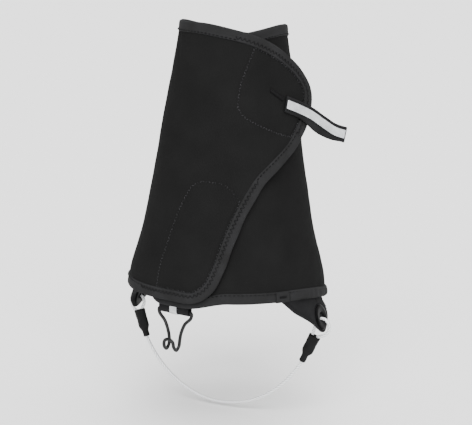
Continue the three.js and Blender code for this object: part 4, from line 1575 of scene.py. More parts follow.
    def underlap_cloth(self) -> Piece:
        """The underlap, from its free edge under the flap round the outer side to the back seam.

        Returns:
            The cloth.
        """
        columns = self.underlap_columns()
        share = np.linspace(0, 1, 100)[None, :]
        azimuth = np.repeat(columns[:, :1], share.shape[1], axis=1)
        z = columns[:, 1:2] + (columns[:, 2:3] - columns[:, 1:2]) * share
        flat = np.radians(azimuth) * self.surface.radius(z)
        calm = ease((azimuth - 60) / 40)
        height = calm * (0.34 * ripple(flat, z, 58.0, 2.1) + 0.1 * ripple(flat, z, 17.0, 0.2))
        hem = np.exp(-(((z - columns[:, 1:2]) / 15) ** 2)) * calm
        height += 0.35 * hem * ripple(flat, 0.15 * z, 9.0, 1.7)
        crease = smooth_curve([(44, 97), (54, 93.5), (66, 90)], 20)
        height -= 1.1 * np.exp(-((self.seams.distance(azimuth, z, crease) / 4.5) ** 2))
        outer = self.surface.round(azimuth, z, height + self.surface.fabric)
        inner = self.surface.round(azimuth, z, 0.6 * height)
        piece = cloth_sheet("underlap_cloth", outer, inner, np.stack([flat, z], axis=-1))
        return self.fit(piece, Slot.SHELL, "gaiter", "underlap_panel")

    def underlap_rims(self) -> list[Piece]:
        """The underlap's binding, and the gathered channel that holds the hem elastic.

        Returns:
            The binding and the channel.
        """
        rim_rings = self.trim.rings(self.rims.underlap_rim(), self.surface.round, self.middle)
        rim = loft("underlap_rim_binding", rim_rings)
        self.fit(rim, Slot.BINDING, "gaiter", "underlap_edge_binding", "underlap_top_binding")
        start = self.rims.join + self.rims.join_span + 0.3
        channel_path = self.rims.along(179.95, start, self.rims.underlap_hem)
        channel = loft(
            "gathered_hem_channel", self.trim.rings(channel_path, self.surface.round, self.middle, gather=1.1)
        )
        return [rim, self.fit(channel, Slot.BINDING, "gaiter", "hem_channel")]

    def underlap_stitches(self) -> Piece:
        """Thread along the underlap's bindings and on both sides of the back seam.

        Returns:
            The thread.
        """
        place = self.surface.round
        rim = self.rims.underlap_rim()
        channel = self.rims.along(178, self.rims.join + self.rims.join_span + 1, self.rims.underlap_hem)
        lines = [
            self.trim.seam(path, place, self.middle, 6.6, side)
            for path in (rim, channel)
            for side in (1.0, -1.0)
        ]
        return self.thread("underlap_stitches", lines, Stitch(pitch=3.0, length=2.0, thread=0.3, seed=5))

    def back_seam(self) -> list[Piece]:
        """The back seam's covering strip with its two rows of stitches.

        Returns:
            The strip and its thread.
        """
        z = np.linspace(self.rims.hem(180) + 6.4, self.rims.left_top(-180) - 6.4, 90)
        path = np.column_stack([np.full(z.shape, 180.0), z])
        wave = 0.1 * ripple(z, 0 * z, 7.0, 0.9)
        section = np.broadcast_to(rounded_band(7.0, -0.2, 0.55, 0.7), (len(z), 22, 2)).copy()
        section[..., 1] += self.surface.fabric + 0.1 + wave[:, None]
        strip = loft("back_seam_strip", self.seams.rings(path, self.surface.round, section))
        self.fit(strip, Slot.SHELL, "gaiter")
        lines = []
        for away in (-2.2, 2.2):
            azimuth = 180 + np.degrees(away / self.surface.radius(z))
            height = np.full(z.shape, self.surface.fabric + 0.62)
            points = self.surface.round(azimuth, z, height)
            lines.append((points, self.surface.round(azimuth, z, height + 1) - points))
        stitch = Stitch(pitch=2.8, length=2.1, thread=0.18, seed=2)
        thread = self.thread("back_seam_stitches", lines, stitch)
        self.finisher.keep("back_seam_tape", Slot.SEAM)
        return [strip, thread]

    def hem_join(self) -> list[Piece]:
        """The strip over the hem's join, and the bar tack across it.

        Returns:
            The strip and its thread.
        """
        start, end = self.rims.join, self.rims.join + self.rims.join_span - 0.5
        azimuth = np.linspace(start, end, 16)
        z = self.rims.underlap_hem(azimuth) + self.trim.width / 2
        path = np.column_stack([azimuth, z])
        section = rounded_band(self.trim.width - 0.4, -0.35, 0.5, 0.6)
        low = self.middle + self.trim.half + 0.3
        rings = self.seams.rings(path, self.surface.round, section + np.array([0.0, low]))
        strip = loft("hem_join_cover", rings)
        self.fit(strip, Slot.BINDING, "gaiter", "hem_join_strip")
        tack = np.column_stack([azimuth[4:12], z[4:12] + 0.2])
        height = np.full(8, low + 0.6)
        points = self.surface.round(tack[:, 0], tack[:, 1], height)
        away = self.surface.round(tack[:, 0], tack[:, 1], height + 1) - points
        stitch = Stitch(pitch=0.34, length=2.0, thread=0.3, zigzag=84, seed=4)
        thread = self.thread("hem_join_tack", [(points, away)], stitch, "gaiter", "hem_bartack")
        self.finisher.keep("hem_elastic", Slot.ELASTIC)
        return [strip, thread]

    def build(self) -> None:
        """Make all of it."""
        front = self.front_cloth()
        front_extras = [*self.front_rims(), *self.front_stitches()]
        underlap = self.underlap_cloth()
        extras = [*self.underlap_rims(), self.underlap_stitches(), *self.back_seam(), *self.hem_join()]
        LOG.info("wrap: outer cloth, underlap, bindings and stitches")


# ---- hook-and-loop patches


class Pile(Enum):
    """What stands on a patch: stiff hooks or soft loops, as (bow, height, thread radius, spacing) in mm."""

    HOOKS = (0.42, 0.3, 0.1, 1.25)
    LOOPS = (0.55, 0.26, 0.08, 1.35)


class ClosingPatches:
    """The four hook-and-loop patches that close the flap."""

    def __init__(self, wrap: Wrap) -> None:
        """Keep the cloth that they are sewn to."""
        self.wrap = wrap
        self.surface = wrap.surface
        self.pile_trees = {pile: self.pile_tree(pile) for pile in Pile}

    def pile_tree(self, pile: Pile) -> tuple[Tree, dict[str, str]]:
        """A Geometry Nodes tree that sets small bows on a face.

        Args:
            pile: The kind of pile.

        Returns:
            The tree, and its inputs' identifiers by name.
        """
        tree = bpy.data.node_groups.new(f"{pile.name.title()} pile", "GeometryNodeTree")
        tree.interface.new_socket("Face", in_out="INPUT", socket_type="NodeSocketGeometry")
        inputs = {}
        for name in ("Spacing", "Height", "Bow", "Thread radius"):
            socket = tree.interface.new_socket(name, in_out="INPUT", socket_type="NodeSocketFloat")
            inputs[name] = socket.identifier
        finish = tree.interface.new_socket("Finish", in_out="INPUT", socket_type="NodeSocketMaterial")
        inputs["Finish"] = finish.identifier
        tree.interface.new_socket("Pile", in_out="OUTPUT", socket_type="NodeSocketGeometry")
        given = add_node(tree, "NodeGroupInput").outputs
        scattered = add_node(
            tree, "GeometryNodeDistributePointsOnFaces",
            {"distribute_method": "POISSON", "Density Max": 900000.0, "Seed": 5},
            {"Mesh": given["Face"], "Distance Min": given["Spacing"]},
        )
        spin = add_node(tree, "FunctionNodeRandomValue", {"data_type": "FLOAT"})
        spin.inputs[2].default_value = 0.0
        spin.inputs[3].default_value = 3.14
        turn = add_node(
            tree, "FunctionNodeAxisAngleToRotation", {"Axis": (0.0, 0.0, 1.0)}, {"Angle": spin.outputs[1]}
        )
        facing = add_node(
            tree, "FunctionNodeRotateRotation", {"rotation_space": "LOCAL"},
            {"Rotation": scattered.outputs["Rotation"], "Rotate By": turn},
        )
        bow = add_node(tree, "GeometryNodeCurveArc", {"Resolution": 5, "Sweep Angle": 3.1415, "Radius": 1.0})
        ring = add_node(
            tree, "GeometryNodeCurvePrimitiveCircle", {"Resolution": 3},
            {"Radius": given["Thread radius"]},
        )
        upright = add_node(
            tree, "GeometryNodeTransform", {"Rotation": (1.5708, 0.0, 0.0)},
            {"Geometry": bow.outputs["Curve"]},
        )
        size = add_node(
            tree, "ShaderNodeCombineXYZ", links={"X": given["Bow"], "Y": given["Bow"], "Z": given["Height"]}
        )
        shaped = add_node(tree, "GeometryNodeTransform", links={"Geometry": upright, "Scale": size})
        solid = add_node(
            tree, "GeometryNodeCurveToMesh", {"Fill Caps": True},
            {"Curve": shaped, "Profile Curve": ring.outputs["Curve"]},
        )
        placed = add_node(
            tree, "GeometryNodeInstanceOnPoints",
            links={"Points": scattered.outputs["Points"], "Instance": solid,
                   "Rotation": facing},
        )
        real = add_node(tree, "GeometryNodeRealizeInstances", links={"Geometry": placed})
        finished = add_node(
            tree, "GeometryNodeSetMaterial", links={"Geometry": real, "Material": given["Finish"]}
        )
        add_node(tree, "NodeGroupOutput", links={"Pile": finished})
        return tree, inputs

    def base_and_face(
        self, name: str, patch: PatchShape, place: Place, low: float, high: float, up: bool
    ) -> tuple[Piece, Piece]:
        """The tape of one patch, and its open face on its own.

        Args:
            name: The piece's name.
            patch: Where it lies.
            place: Turns azimuth, height and offset to a point.
            low: Offset of its inner face.
            high: Offset of its outer face.
            up: True where the pile stands on the outer face.

        Returns:
            The tape and a flat object with the face that the pile stands on.
        """
        columns = patch.columns[::2]
        share = np.linspace(0, 1, 44)[None, :]
        azimuth = np.repeat(columns[:, :1], share.shape[1], axis=1)
        z = columns[:, 1:2] + (columns[:, 2:3] - columns[:, 1:2]) * share
        flat = np.radians(azimuth) * self.surface.radius(z)
        wave = 0.05 * ripple(flat, z, 9.0, 0.6)
        outer = place(azimuth, z, high + wave)
        inner = place(azimuth, z, low + wave)
        tape = cloth_sheet(name, outer, inner, np.stack([flat, z], axis=-1))
        grid = outer if up else inner
        rows = grid.shape[1]
        faces = [
            (i * rows + j, (i + 1) * rows + j, (i + 1) * rows + j + 1, i * rows + j + 1)
            for i in range(grid.shape[0] - 1) for j in range(rows - 1)
        ]
        mesh = bpy.data.meshes.new(name + "_face")
        mesh.from_pydata((grid.reshape(-1, 3) * MM).tolist(), [], faces)
        mesh.update()
        outwards = place(azimuth[:1, :1], z[:1, :1], np.array([[high + 1.0]])) - grid[:1, :1]
        facing = float(np.dot(np.array(mesh.polygons[0].normal), outwards[0, 0])) > 0
        if facing != up:
            mesh.flip_normals()
        face = bpy.data.objects.new(name + "_pile", mesh)
        bpy.context.collection.objects.link(face)
        return tape, face

    def grow(self, face: Piece, pile: Pile, slot: Slot) -> Piece:
        """Turn a face into the pile that stands on it.

        Args:
            face: The mesh that it grows on.
            pile: Hooks or loops.
            slot: Whose finish it takes.

        Returns:
            The pile.
        """
        tree, inputs = self.pile_trees[pile]
        bow, height, thread, spacing = pile.value
        modifier = face.modifiers.new("Pile", "NODES")
        modifier.node_group = tree
        modifier[inputs["Spacing"]] = spacing * MM
        modifier[inputs["Height"]] = height * MM
        modifier[inputs["Bow"]] = bow * MM
        modifier[inputs["Thread radius"]] = thread * MM
        modifier[inputs["Finish"]] = self.wrap.finisher.materials[slot]
        evaluated = face.evaluated_get(bpy.context.evaluated_depsgraph_get())
        mesh = bpy.data.meshes.new_from_object(evaluated)
        face.modifiers.remove(modifier)
        face.data = mesh
        return face

    def build(self) -> None:
        """Make the four patches with their pile."""
        flap = self.wrap.flap
        surface = self.surface
        hooks = surface.hook_inner
        loops = surface.loop_inner
        for name, patch, place, low, slot, pile, up in (
            ("hook_patch_upper", flap.upper_patch(), surface.round, hooks, Slot.HOOK, Pile.HOOKS, False),
            ("hook_patch_lower", flap.lower_patch(), surface.round, hooks, Slot.HOOK, Pile.HOOKS, False),
            ("loop_patch_upper", flap.upper_patch(1.5), surface.round, loops, Slot.LOOP, Pile.LOOPS, True),
            ("loop_patch_lower", flap.lower_patch(1.5), surface.round, loops, Slot.LOOP, Pile.LOOPS, True),
        ):
            on_flap = slot is Slot.HOOK
            if on_flap:
                place = self.under_flap
            columns = patch.columns
            if name == "loop_patch_upper":
                ceiling = self.wrap.rims.underlap_top(columns[:, 0]) - self.wrap.trim.width - surface.gap
                columns = np.column_stack([columns[:, :2], np.minimum(columns[:, 2], ceiling)])
                columns = columns[columns[:, 2] - columns[:, 1] > 1.5]
            high = low + surface.patch
            tape, face = self.base_and_face(name + "_tape", PatchShape(columns), place, low, high, up)
            body = "flap" if on_flap else "gaiter"
            self.wrap.fit(tape, slot, body, name)
            self.wrap.fit(self.grow(face, pile, slot), slot, body)
        LOG.info("patches: two of hooks, two of loops")

    def under_flap(self, azimuth: Array, z: Array, offset: Array) -> Array:
        """Points under the flap, by their offset from the underlap's inner face."""
        return self.surface.flap(azimuth, z, offset - self.surface.flap_inner)


# ---- side tabs and grommets


@dataclass
class SideTabs:
    """The coated tabs under the hem, each with a grommet. Sizes in mm and degrees."""

    wrap: Wrap
    hole_height: float = -12.0
    tilt: float = 18.0
    tip_radius: float = 10.5
    slope: float = 38.0
    flare_end: float = 28.0
    thickness: float = 1.4
    half_width: float = 41.0
    top: float = 10.0
    grommet: float = 9.5
    hole: float = 3.2
    wall: float = 0.6
    flange: float = 1.1
    washer: float = 0.8
    gap: float = 0.35
    seam_inset: float = 2.2

    @property
    def middle(self) -> float:
        """Offset of the tab's middle layer from the underlap's inner face."""
        return self.wrap.middle - self.wrap.trim.half - self.gap - self.thickness / 2

    @property
    def radius(self) -> float:
        """Radius of the tab's middle layer at the hem."""
        return float(self.wrap.surface.radius(self.wrap.rims.hem(90)) + self.middle)

    def place(self, u: Array, z: Array, offset: Array) -> Array:
        """Points of the right tab, at a distance u behind the hole.

        Args:
            u: Distances behind the hole.
            z: Heights in mm.
            offset: Distances in mm out of the tab's middle.

        Returns:
            Points in mm.
        """
        flare = np.tan(np.radians(self.tilt))
        azimuth = 90 + np.degrees(u / self.radius)
        bend = self.wrap.rims.hem(azimuth) - self.gap
        curved = self.wrap.surface.round(azimuth, np.maximum(z, bend), self.middle + offset)
        share = ease((self.flare_end - np.abs(u)) / (self.flare_end - self.tip_radius))
        curved[..., 0] += np.maximum(bend - z, 0) * flare * share
        drop = float(self.wrap.rims.hem(90)) - self.gap - z
        reach = self.radius + drop * flare + offset / np.cos(np.radians(self.tilt))
        flat = np.stack([reach, u + 0 * reach, z + 0 * reach], axis=-1)
        level = (share * ease((bend - z) / 7))[..., None]
        points = curved * (1 - level) + flat * level
        points[..., 2] = z
        return points

    def edge(self, u: Array) -> Array:
        """Height of the tab's lower edge: straight sides that run into a round tip.

        Args:
            u: Distances in mm behind the hole.

        Returns:
            Heights in mm.
        """
        slope = np.radians(self.slope)
        beyond = np.abs(u) - self.tip_radius * np.sin(slope)
        tangent = self.hole_height - self.tip_radius * np.cos(slope)
        tip = self.hole_height - np.sqrt(np.clip(self.tip_radius**2 - u**2, 0, None))
        return np.where(beyond > 0, tangent + beyond * np.tan(slope), tip)

    def tab(self, side: float) -> Piece:
        """One tab, as a sheet with a round hole. side is 1 for the right of the boot seen from the toes.

        Args:
            side: 1 for the tab at +X, -1 for the other.

        Returns:
            The tab.
        """
        u = self.half_width * np.sin(np.linspace(-1, 1, 81) * np.pi / 2)
        u = np.sort(np.concatenate([u, np.linspace(-12, 12, 31)]))
        share = np.linspace(0, 1, 46)[None, :]
        low = self.edge(u)[:, None]
        z = low + (self.top - low) * share**1.1
        across = np.repeat(u[:, None], z.shape[1], axis=1)
        hole = self.hole + self.wall + 0.2
        away = np.stack([across, (z - self.hole_height) / np.cos(np.radians(self.tilt))], axis=-1)
        reach = np.linalg.norm(away, axis=-1)
        cleared = hole + 2.5 * reach / (hole + 2.5)
        push = np.where(reach < hole + 2.5, cleared / np.maximum(reach, 1e-6), 1.0)
        away = away * push[..., None]
        across = away[..., 0]
        z = away[..., 1] * np.cos(np.radians(self.tilt)) + self.hole_height
        edge_away = np.minimum(z - self.edge(across), 3.0)
        wave = 0.1 * ripple(across, z, 23.0, 1.0) - 0.18 * np.exp(-(((edge_away - 2.2) / 0.9) ** 2))
        half = self.thickness / 2
        soft = 0.25 * (1 - ease(edge_away / 0.8))
        outer = self.place(across, z, half + wave - soft)
        inner = self.place(across, z, -half + wave * 0.3 + soft)
        outer[..., 0] *= side
        inner[..., 0] *= side
        name = "right" if side > 0 else "left"
        piece = cloth_sheet(f"side_tab_{name}_coated", outer, inner, np.stack([across, z], axis=-1))
        return self.wrap.fit(piece, Slot.WEBBING, "gaiter", f"side_tab_{name}")

    def stitches(self, side: float) -> Piece:
        """A stitch line along the tab's lower edge.

        Args:
            side: 1 for the tab at +X, -1 for the other.

        Returns:
            The thread.
        """
        u = np.linspace(-34, 34, 160)
        steepness = np.where(np.abs(u) > 6.5, np.tan(np.radians(self.slope)) ** 2, 0.3)
        z = self.edge(u) + self.seam_inset * np.sqrt(1 + steepness)
        points = self.place(u, z, np.full(u.shape, self.thickness / 2 + 0.02))
        away = self.place(u, z, np.full(u.shape, self.thickness / 2 + 1.0)) - points
        points[:, 0] *= side
        away[:, 0] *= side
        name = f"side_tab_{'right' if side > 0 else 'left'}_stitches"
        return self.wrap.thread(name, [(points, away)], Stitch(pitch=2.6, length=1.9, thread=0.17))

    def turned(self, name: str, profile: Array, side: float, node: str) -> Piece:
        """A ring turned round the hole's axis.

        Args:
            name: The piece's name.
            profile: Closed outline of radius and distance from the tab's middle layer.
            side: 1 for the right tab, -1 for the left one.
            node: The CAD node that it replaces.

        Returns:
            The piece.
        """
        tilt = np.radians(self.tilt)
        normal = np.array([np.cos(tilt), 0, np.sin(tilt)])
        up = np.array([-np.sin(tilt), 0, np.cos(tilt)])
        flare = np.tan(tilt) * (float(self.wrap.rims.hem(90)) - self.gap - self.hole_height)
        centre = np.array([self.radius + flare, 0, self.hole_height])
        turn = np.linspace(0, 2 * np.pi, 72, endpoint=False)
        spokes = np.cos(turn)[:, None] * np.array([0, 1.0, 0]) + np.sin(turn)[:, None] * up
        rings = centre + profile[None, :, :1] * spokes[:, None] + profile[None, :, 1:] * normal
        rings[..., 0] *= side
        piece = loft(name, rings, closed=True)
        return self.wrap.fit(piece, Slot.GROMMET, "gaiter", node)

    def grommets(self, side: float) -> None:
        """The grommet's rolled face and its washer.

        Args:
            side: 1 for the tab at +X, -1 for the other.
        """
        name = "right" if side > 0 else "left"
        seat = self.thickness / 2 + 0.1
        face = seat + self.flange + 0.25
        end = -(seat + self.washer + 0.6)
        outer, inner = self.grommet, self.hole
        bead = smooth_curve(
            [(outer - 0.2, seat), (outer, seat + 0.35), (outer - 0.5, face - 0.35), (outer - 1.8, face),
             (inner + 2.2, face - 0.1), (inner + 0.9, face - 0.3), (inner + 0.15, face - 1.1),
             (inner, face - 2)],
            26,
        )
        barrel = np.array([
            (inner, end), (inner + self.wall, end), (inner + self.wall, seat), (outer - 0.8, seat - 0.02),
        ])
        self.turned(f"grommet_{name}_rolled", np.vstack([bead, barrel]), side, f"grommet_face_{name}")
        washer = smooth_curve(
            [(inner + 0.8, -seat), (outer - 1.4, -seat), (outer - 0.8, -seat - 0.3),
             (outer - 1.2, -seat - 0.8), (outer - 3, -seat - 0.95), (inner + 1.2, -seat - 0.9),
             (inner + 0.75, -seat - 0.6)],
            24,
        )
        self.turned(f"grommet_{name}_washer", washer, side, f"grommet_washer_{name}")

    def build(self) -> None:
        """Make both tabs with their grommets."""
        for side in (1.0, -1.0):
            self.tab(side)
            self.stitches(side)
            self.grommets(side)
        LOG.info("side tabs: two, with grommets %.1f mm across", 2 * self.grommet)


# ---- stirrup


@dataclass
class Stirrup:
    """The coated cable that runs under the boot, with its crimped and sleeved ends. Sizes in mm."""

    finisher: Finisher
    radius: float = 1.15
    steps: int = 720
    wide: tuple[float, float] = (4.4, 3.05)
    narrow: float = 2.4

    route = [
        (65.3, -39.5), (69.6, -30.5), (72.3, -27.1), (77.6, -24.9), (80.7, -21), (80.2, -16), (77.2, -13.1),
        (73.7, -13), (70.7, -15), (69.7, -19.5), (68.4, -24.6), (67.1, -29.3), (63.2, -38.5), (60.6, -46.5),
        (56.3, -53.4), (46.6, -65), (36.5, -73.7), (22, -81.8), (0, -86.6), (-20, -84.8), (-38.5, -76.5),
        (-52, -65.6), (-61, -54.7), (-67, -44.5), (-68.6, -37.2), (-71.2, -27.9), (-71.6, -23.5),
        (-69.8, -19.2), (-70.7, -15), (-73.7, -13), (-77.2, -13.1), (-80.2, -16), (-80.5, -20.5),
        (-78.6, -24), (-75.4, -26.2), (-73.9, -28.6), (-70.8, -37.9),
    ]
    sleeves = {"right": ((70.1, -26.3), (60.6, -46.5)), "left": ((-73.8, -24.4), (-67, -44.5))}

    def cable(self) -> tuple[Piece, Array]:
        """The cable as a tube, and its centre line in mm.

        Returns:
            The tube and the line.
        """
        line = smooth_curve([(x, 0.0, z) for x, z in self.route], self.steps)
        rings = tube_rings(line, ring_section(self.radius, 14), (0.0, 1.0, 0.0))
        piece = loft("cable_strand", rings)
        self.finisher.dress(piece, Slot.CABLE, "stirrup_cable")
        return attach(piece, "stirrup"), line

    def sleeve(self, side: str) -> Piece:
        """One heat-shrink sleeve, drawn down over the crimp and on to the cable.

        Args:
            side: "right" or "left".

        Returns:
            The sleeve.
        """
        top, bottom = (np.array([x, 0.0, z]) for x, z in self.sleeves[side])
        length = float(np.linalg.norm(bottom - top))
        down = (bottom - top) / length
        across = np.array([down[2], 0, -down[0]])
        distance = np.linspace(0, length, 46)
        shoulder = ease((distance - 12.5) / 5)
        half_width = self.wide[0] + (self.narrow - self.wide[0]) * shoulder
        half_depth = self.wide[1] + (self.narrow - self.wide[1]) * shoulder
        mouth = 0.22 * np.exp(-((distance / 1.2) ** 2)) + 0.15 * np.exp(-(((length - distance) / 1.0) ** 2))
        edge = -0.5 * np.exp(-((distance / 0.35) ** 2)) - 0.4 * np.exp(-(((length - distance) / 0.3) ** 2))
        turn = np.linspace(0, 2 * np.pi, 40, endpoint=False)
        crease = ripple(distance[:, None] * 1.0, turn[None, :] * 3.2, 5.5, 1.1) * 0.16 * np.sin(
            np.pi * np.clip(distance / length, 0, 1)
        )[:, None]
        waist = -0.22 * np.exp(-(((distance - 8) / 2.4) ** 2))
        grow = (mouth + edge + waist)[:, None] + crease
        x = (half_width[:, None] + grow) * np.cos(turn)
        y = (half_depth[:, None] + grow) * np.sin(turn)
        rings = top + distance[:, None, None] * down + x[..., None] * across
        rings = rings + y[..., None] * np.array([0, 1.0, 0])
        piece = loft(f"shrink_sleeve_{side}", rings)
        self.finisher.dress(piece, Slot.SHRINK, f"sleeve_{side}")
        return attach(piece, "stirrup")

    def build(self) -> None:
        """Make the stirrup and log its cable's length."""
        cable, line = self.cable()
        length = float(np.linalg.norm(np.diff(line, axis=0), axis=1).sum()) * MM
        pieces = [cable, *(self.sleeve(side) for side in self.sleeves)]
        for side in self.sleeves:
            self.finisher.keep(f"ferrule_{side}", Slot.CRIMP)
        2 * self.radius * MM
        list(pieces[1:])
        LOG.info("stirrup: %.3f m of cable", length)


# ---- lace hook


@dataclass
class LaceHook:
    """The bent wire that catches the boot's laces, in its folded webbing. Sizes in mm and degrees."""

    wrap: Wrap
    azimuth: float = -11.0
    wire: float = 1.22
    width: float = 26.0
    thickness: float = 1.2
    bar_height: float = -3.7
    bar_radius: float = 64.405
    fold: float = 2.65
    strip_width: float = 6.2

    leg = [
        (0.4, 0, 0), (11.45, 0, 0), (14.3, 0, -0.7), (13.9, 0, -3.9), (8.9, 0.2, -9), (5.9, 0.2, -15.5),
        (4.7, 0.2, -21), (4.5, 0.8, -25.5), (4.4, 3.6, -28.1), (4.3, 6.5, -25.5), (3.5, 7.2, -21.5),
    ]
    tip = (0.0, 7.3, -19.9)

    def place(self, points: Array) -> Array:
        """From the hook's own sideways, outwards and up to the gaiter's frame.

        Args:
            points: Points in the hook's own directions, in mm.

        Returns:
            Points in the gaiter's frame.
        """
        turn = np.radians(self.azimuth)
        out = np.array([np.sin(turn), -np.cos(turn), 0])
        side = np.array([np.cos(turn), np.sin(turn), 0])
        up = np.array([0, 0, 1.0])
        centre = out * self.bar_radius + up * self.bar_height
        return centre + points[..., :1] * side + points[..., 1:2] * out + points[..., 2:] * up

    def bent_wire(self) -> Piece:
        """The wire: a bar in the webbing, two legs that close to a narrow hook, and its curled tip.

        Returns:
            The wire.
        """
        other = [(-x, out, up) for x, out, up in reversed(self.leg)]
        route = self.place(smooth_curve([*self.leg, self.tip, *other], 300))
        piece = loft("lace_hook_bent_wire", tube_rings(route, ring_section(self.wire, 16)))
        return self.wrap.fit(piece, Slot.WIRE, "lace_hook", "lace_hook_wire")

    def strap_line(self, clearance: float, front_top: float) -> Array:
        """Middle line of the webbing round the bar, from the front's top down and up behind.

        Args:
            clearance: Distance of the line from the bar's middle.
            front_top: How far up the front it starts.

        Returns:
            Points outwards and up.
        """
        turn = np.linspace(0, -np.pi, 25)
        under = np.column_stack([clearance * np.cos(turn), clearance * np.sin(turn)])
        front = np.column_stack([np.full(12, clearance), np.linspace(front_top, 0.5, 12)])
        return np.vstack([front, under])

    def strap_rings(self, line: Array, section: Array, rib: Array | float = 0.0) -> Array:
        """Carry a flat section along a strap's middle line.

        Args:
            line: Points outwards and up.
            section: Points across the strap.
            rib: How far each point of the section is raised.

        Returns:
            Rings of points in the gaiter's frame, in mm.
        """
        profile = np.column_stack([np.zeros(len(line)), line])
        forward = unit(np.gradient(profile, axis=0))
        off = np.column_stack([np.zeros(len(line)), -forward[:, 2], forward[:, 1]])
        local = profile[:, None] + section[None, :, :1] * np.array([1.0, 0, 0])
        height = section[None, :, 1:] + np.broadcast_to(rib, (len(line), len(section)))[..., None]
        return self.place(local + height * off[:, None])

    def webbing(self) -> Piece:
        """The folded webbing, as one strap from the sewn top, round the bar and back up.

        Returns:
            The strap.
        """
        middle = self.fold - self.thickness / 2
        line = self.strap_line(middle, 17.5)
        high = middle - 1.25
        back = [(-middle, 1.6), (-middle + 0.5, 4.2), (0.2, 8.0), (high, 9.6), (high, 17.4)]
        line = resampled(np.vstack([line, smooth_curve(back, 20)]), 90)
        section = rounded_band(self.width, -self.thickness / 2, self.thickness / 2, 0.5, 18)
        rib = 0.06 * ripple(section[None, :, 0], np.arange(len(line))[:, None] * 0.6, 4.5, 0.8)
        piece = loft("lace_hook_strap", self.strap_rings(line, section, rib))
        return self.wrap.fit(piece, Slot.WEBBING, "gaiter", "lace_hook_webbing")

    def reflector(self) -> Piece:
        """The reflective strip down the strap's front and under the fold.

        Returns:
            The strip.
        """
        line = resampled(self.strap_line(self.fold + 0.22, 6.9)[:-7], 60)
        section = rounded_band(self.strip_width, -0.16, 0.16, 0.25, 8)
        piece = loft("lace_hook_strip", self.strap_rings(line, section))
        return self.wrap.fit(piece, Slot.REFLECTIVE, "gaiter", "lace_hook_reflector")

    def stitches(self) -> Piece:
        """Rows of thread that hold the strap's ends and edges.

        Returns:
            The thread.
        """
        face = self.fold + 0.04
        up = np.linspace(2.0, 8.6, 24)
        lines = [np.column_stack([np.full(24, x), np.full(24, face), up]) for x in (-11.6, 11.6, -3.6, 3.6)]
        across = np.linspace(-11.8, 11.8, 60)
        lines.append(np.column_stack([across, np.full(60, face), np.full(60, 3.2)]))
        turn = np.radians(self.azimuth)
        out = np.array([np.sin(turn), -np.cos(turn), 0])
        seams = [(self.place(line), np.tile(out, (len(line), 1))) for line in lines]
        stitch = Stitch(pitch=2.2, length=1.6, thread=0.17, seed=9)
        return self.wrap.thread("lace_hook_stitches", seams, stitch)

    def build(self) -> None:
        """Make the hook."""
        self.bent_wire()
        self.webbing()
        self.reflector()
        self.stitches()
        LOG.info("lace hook: wire %.1f mm thick", 2 * self.wire)


# ---- pull tab


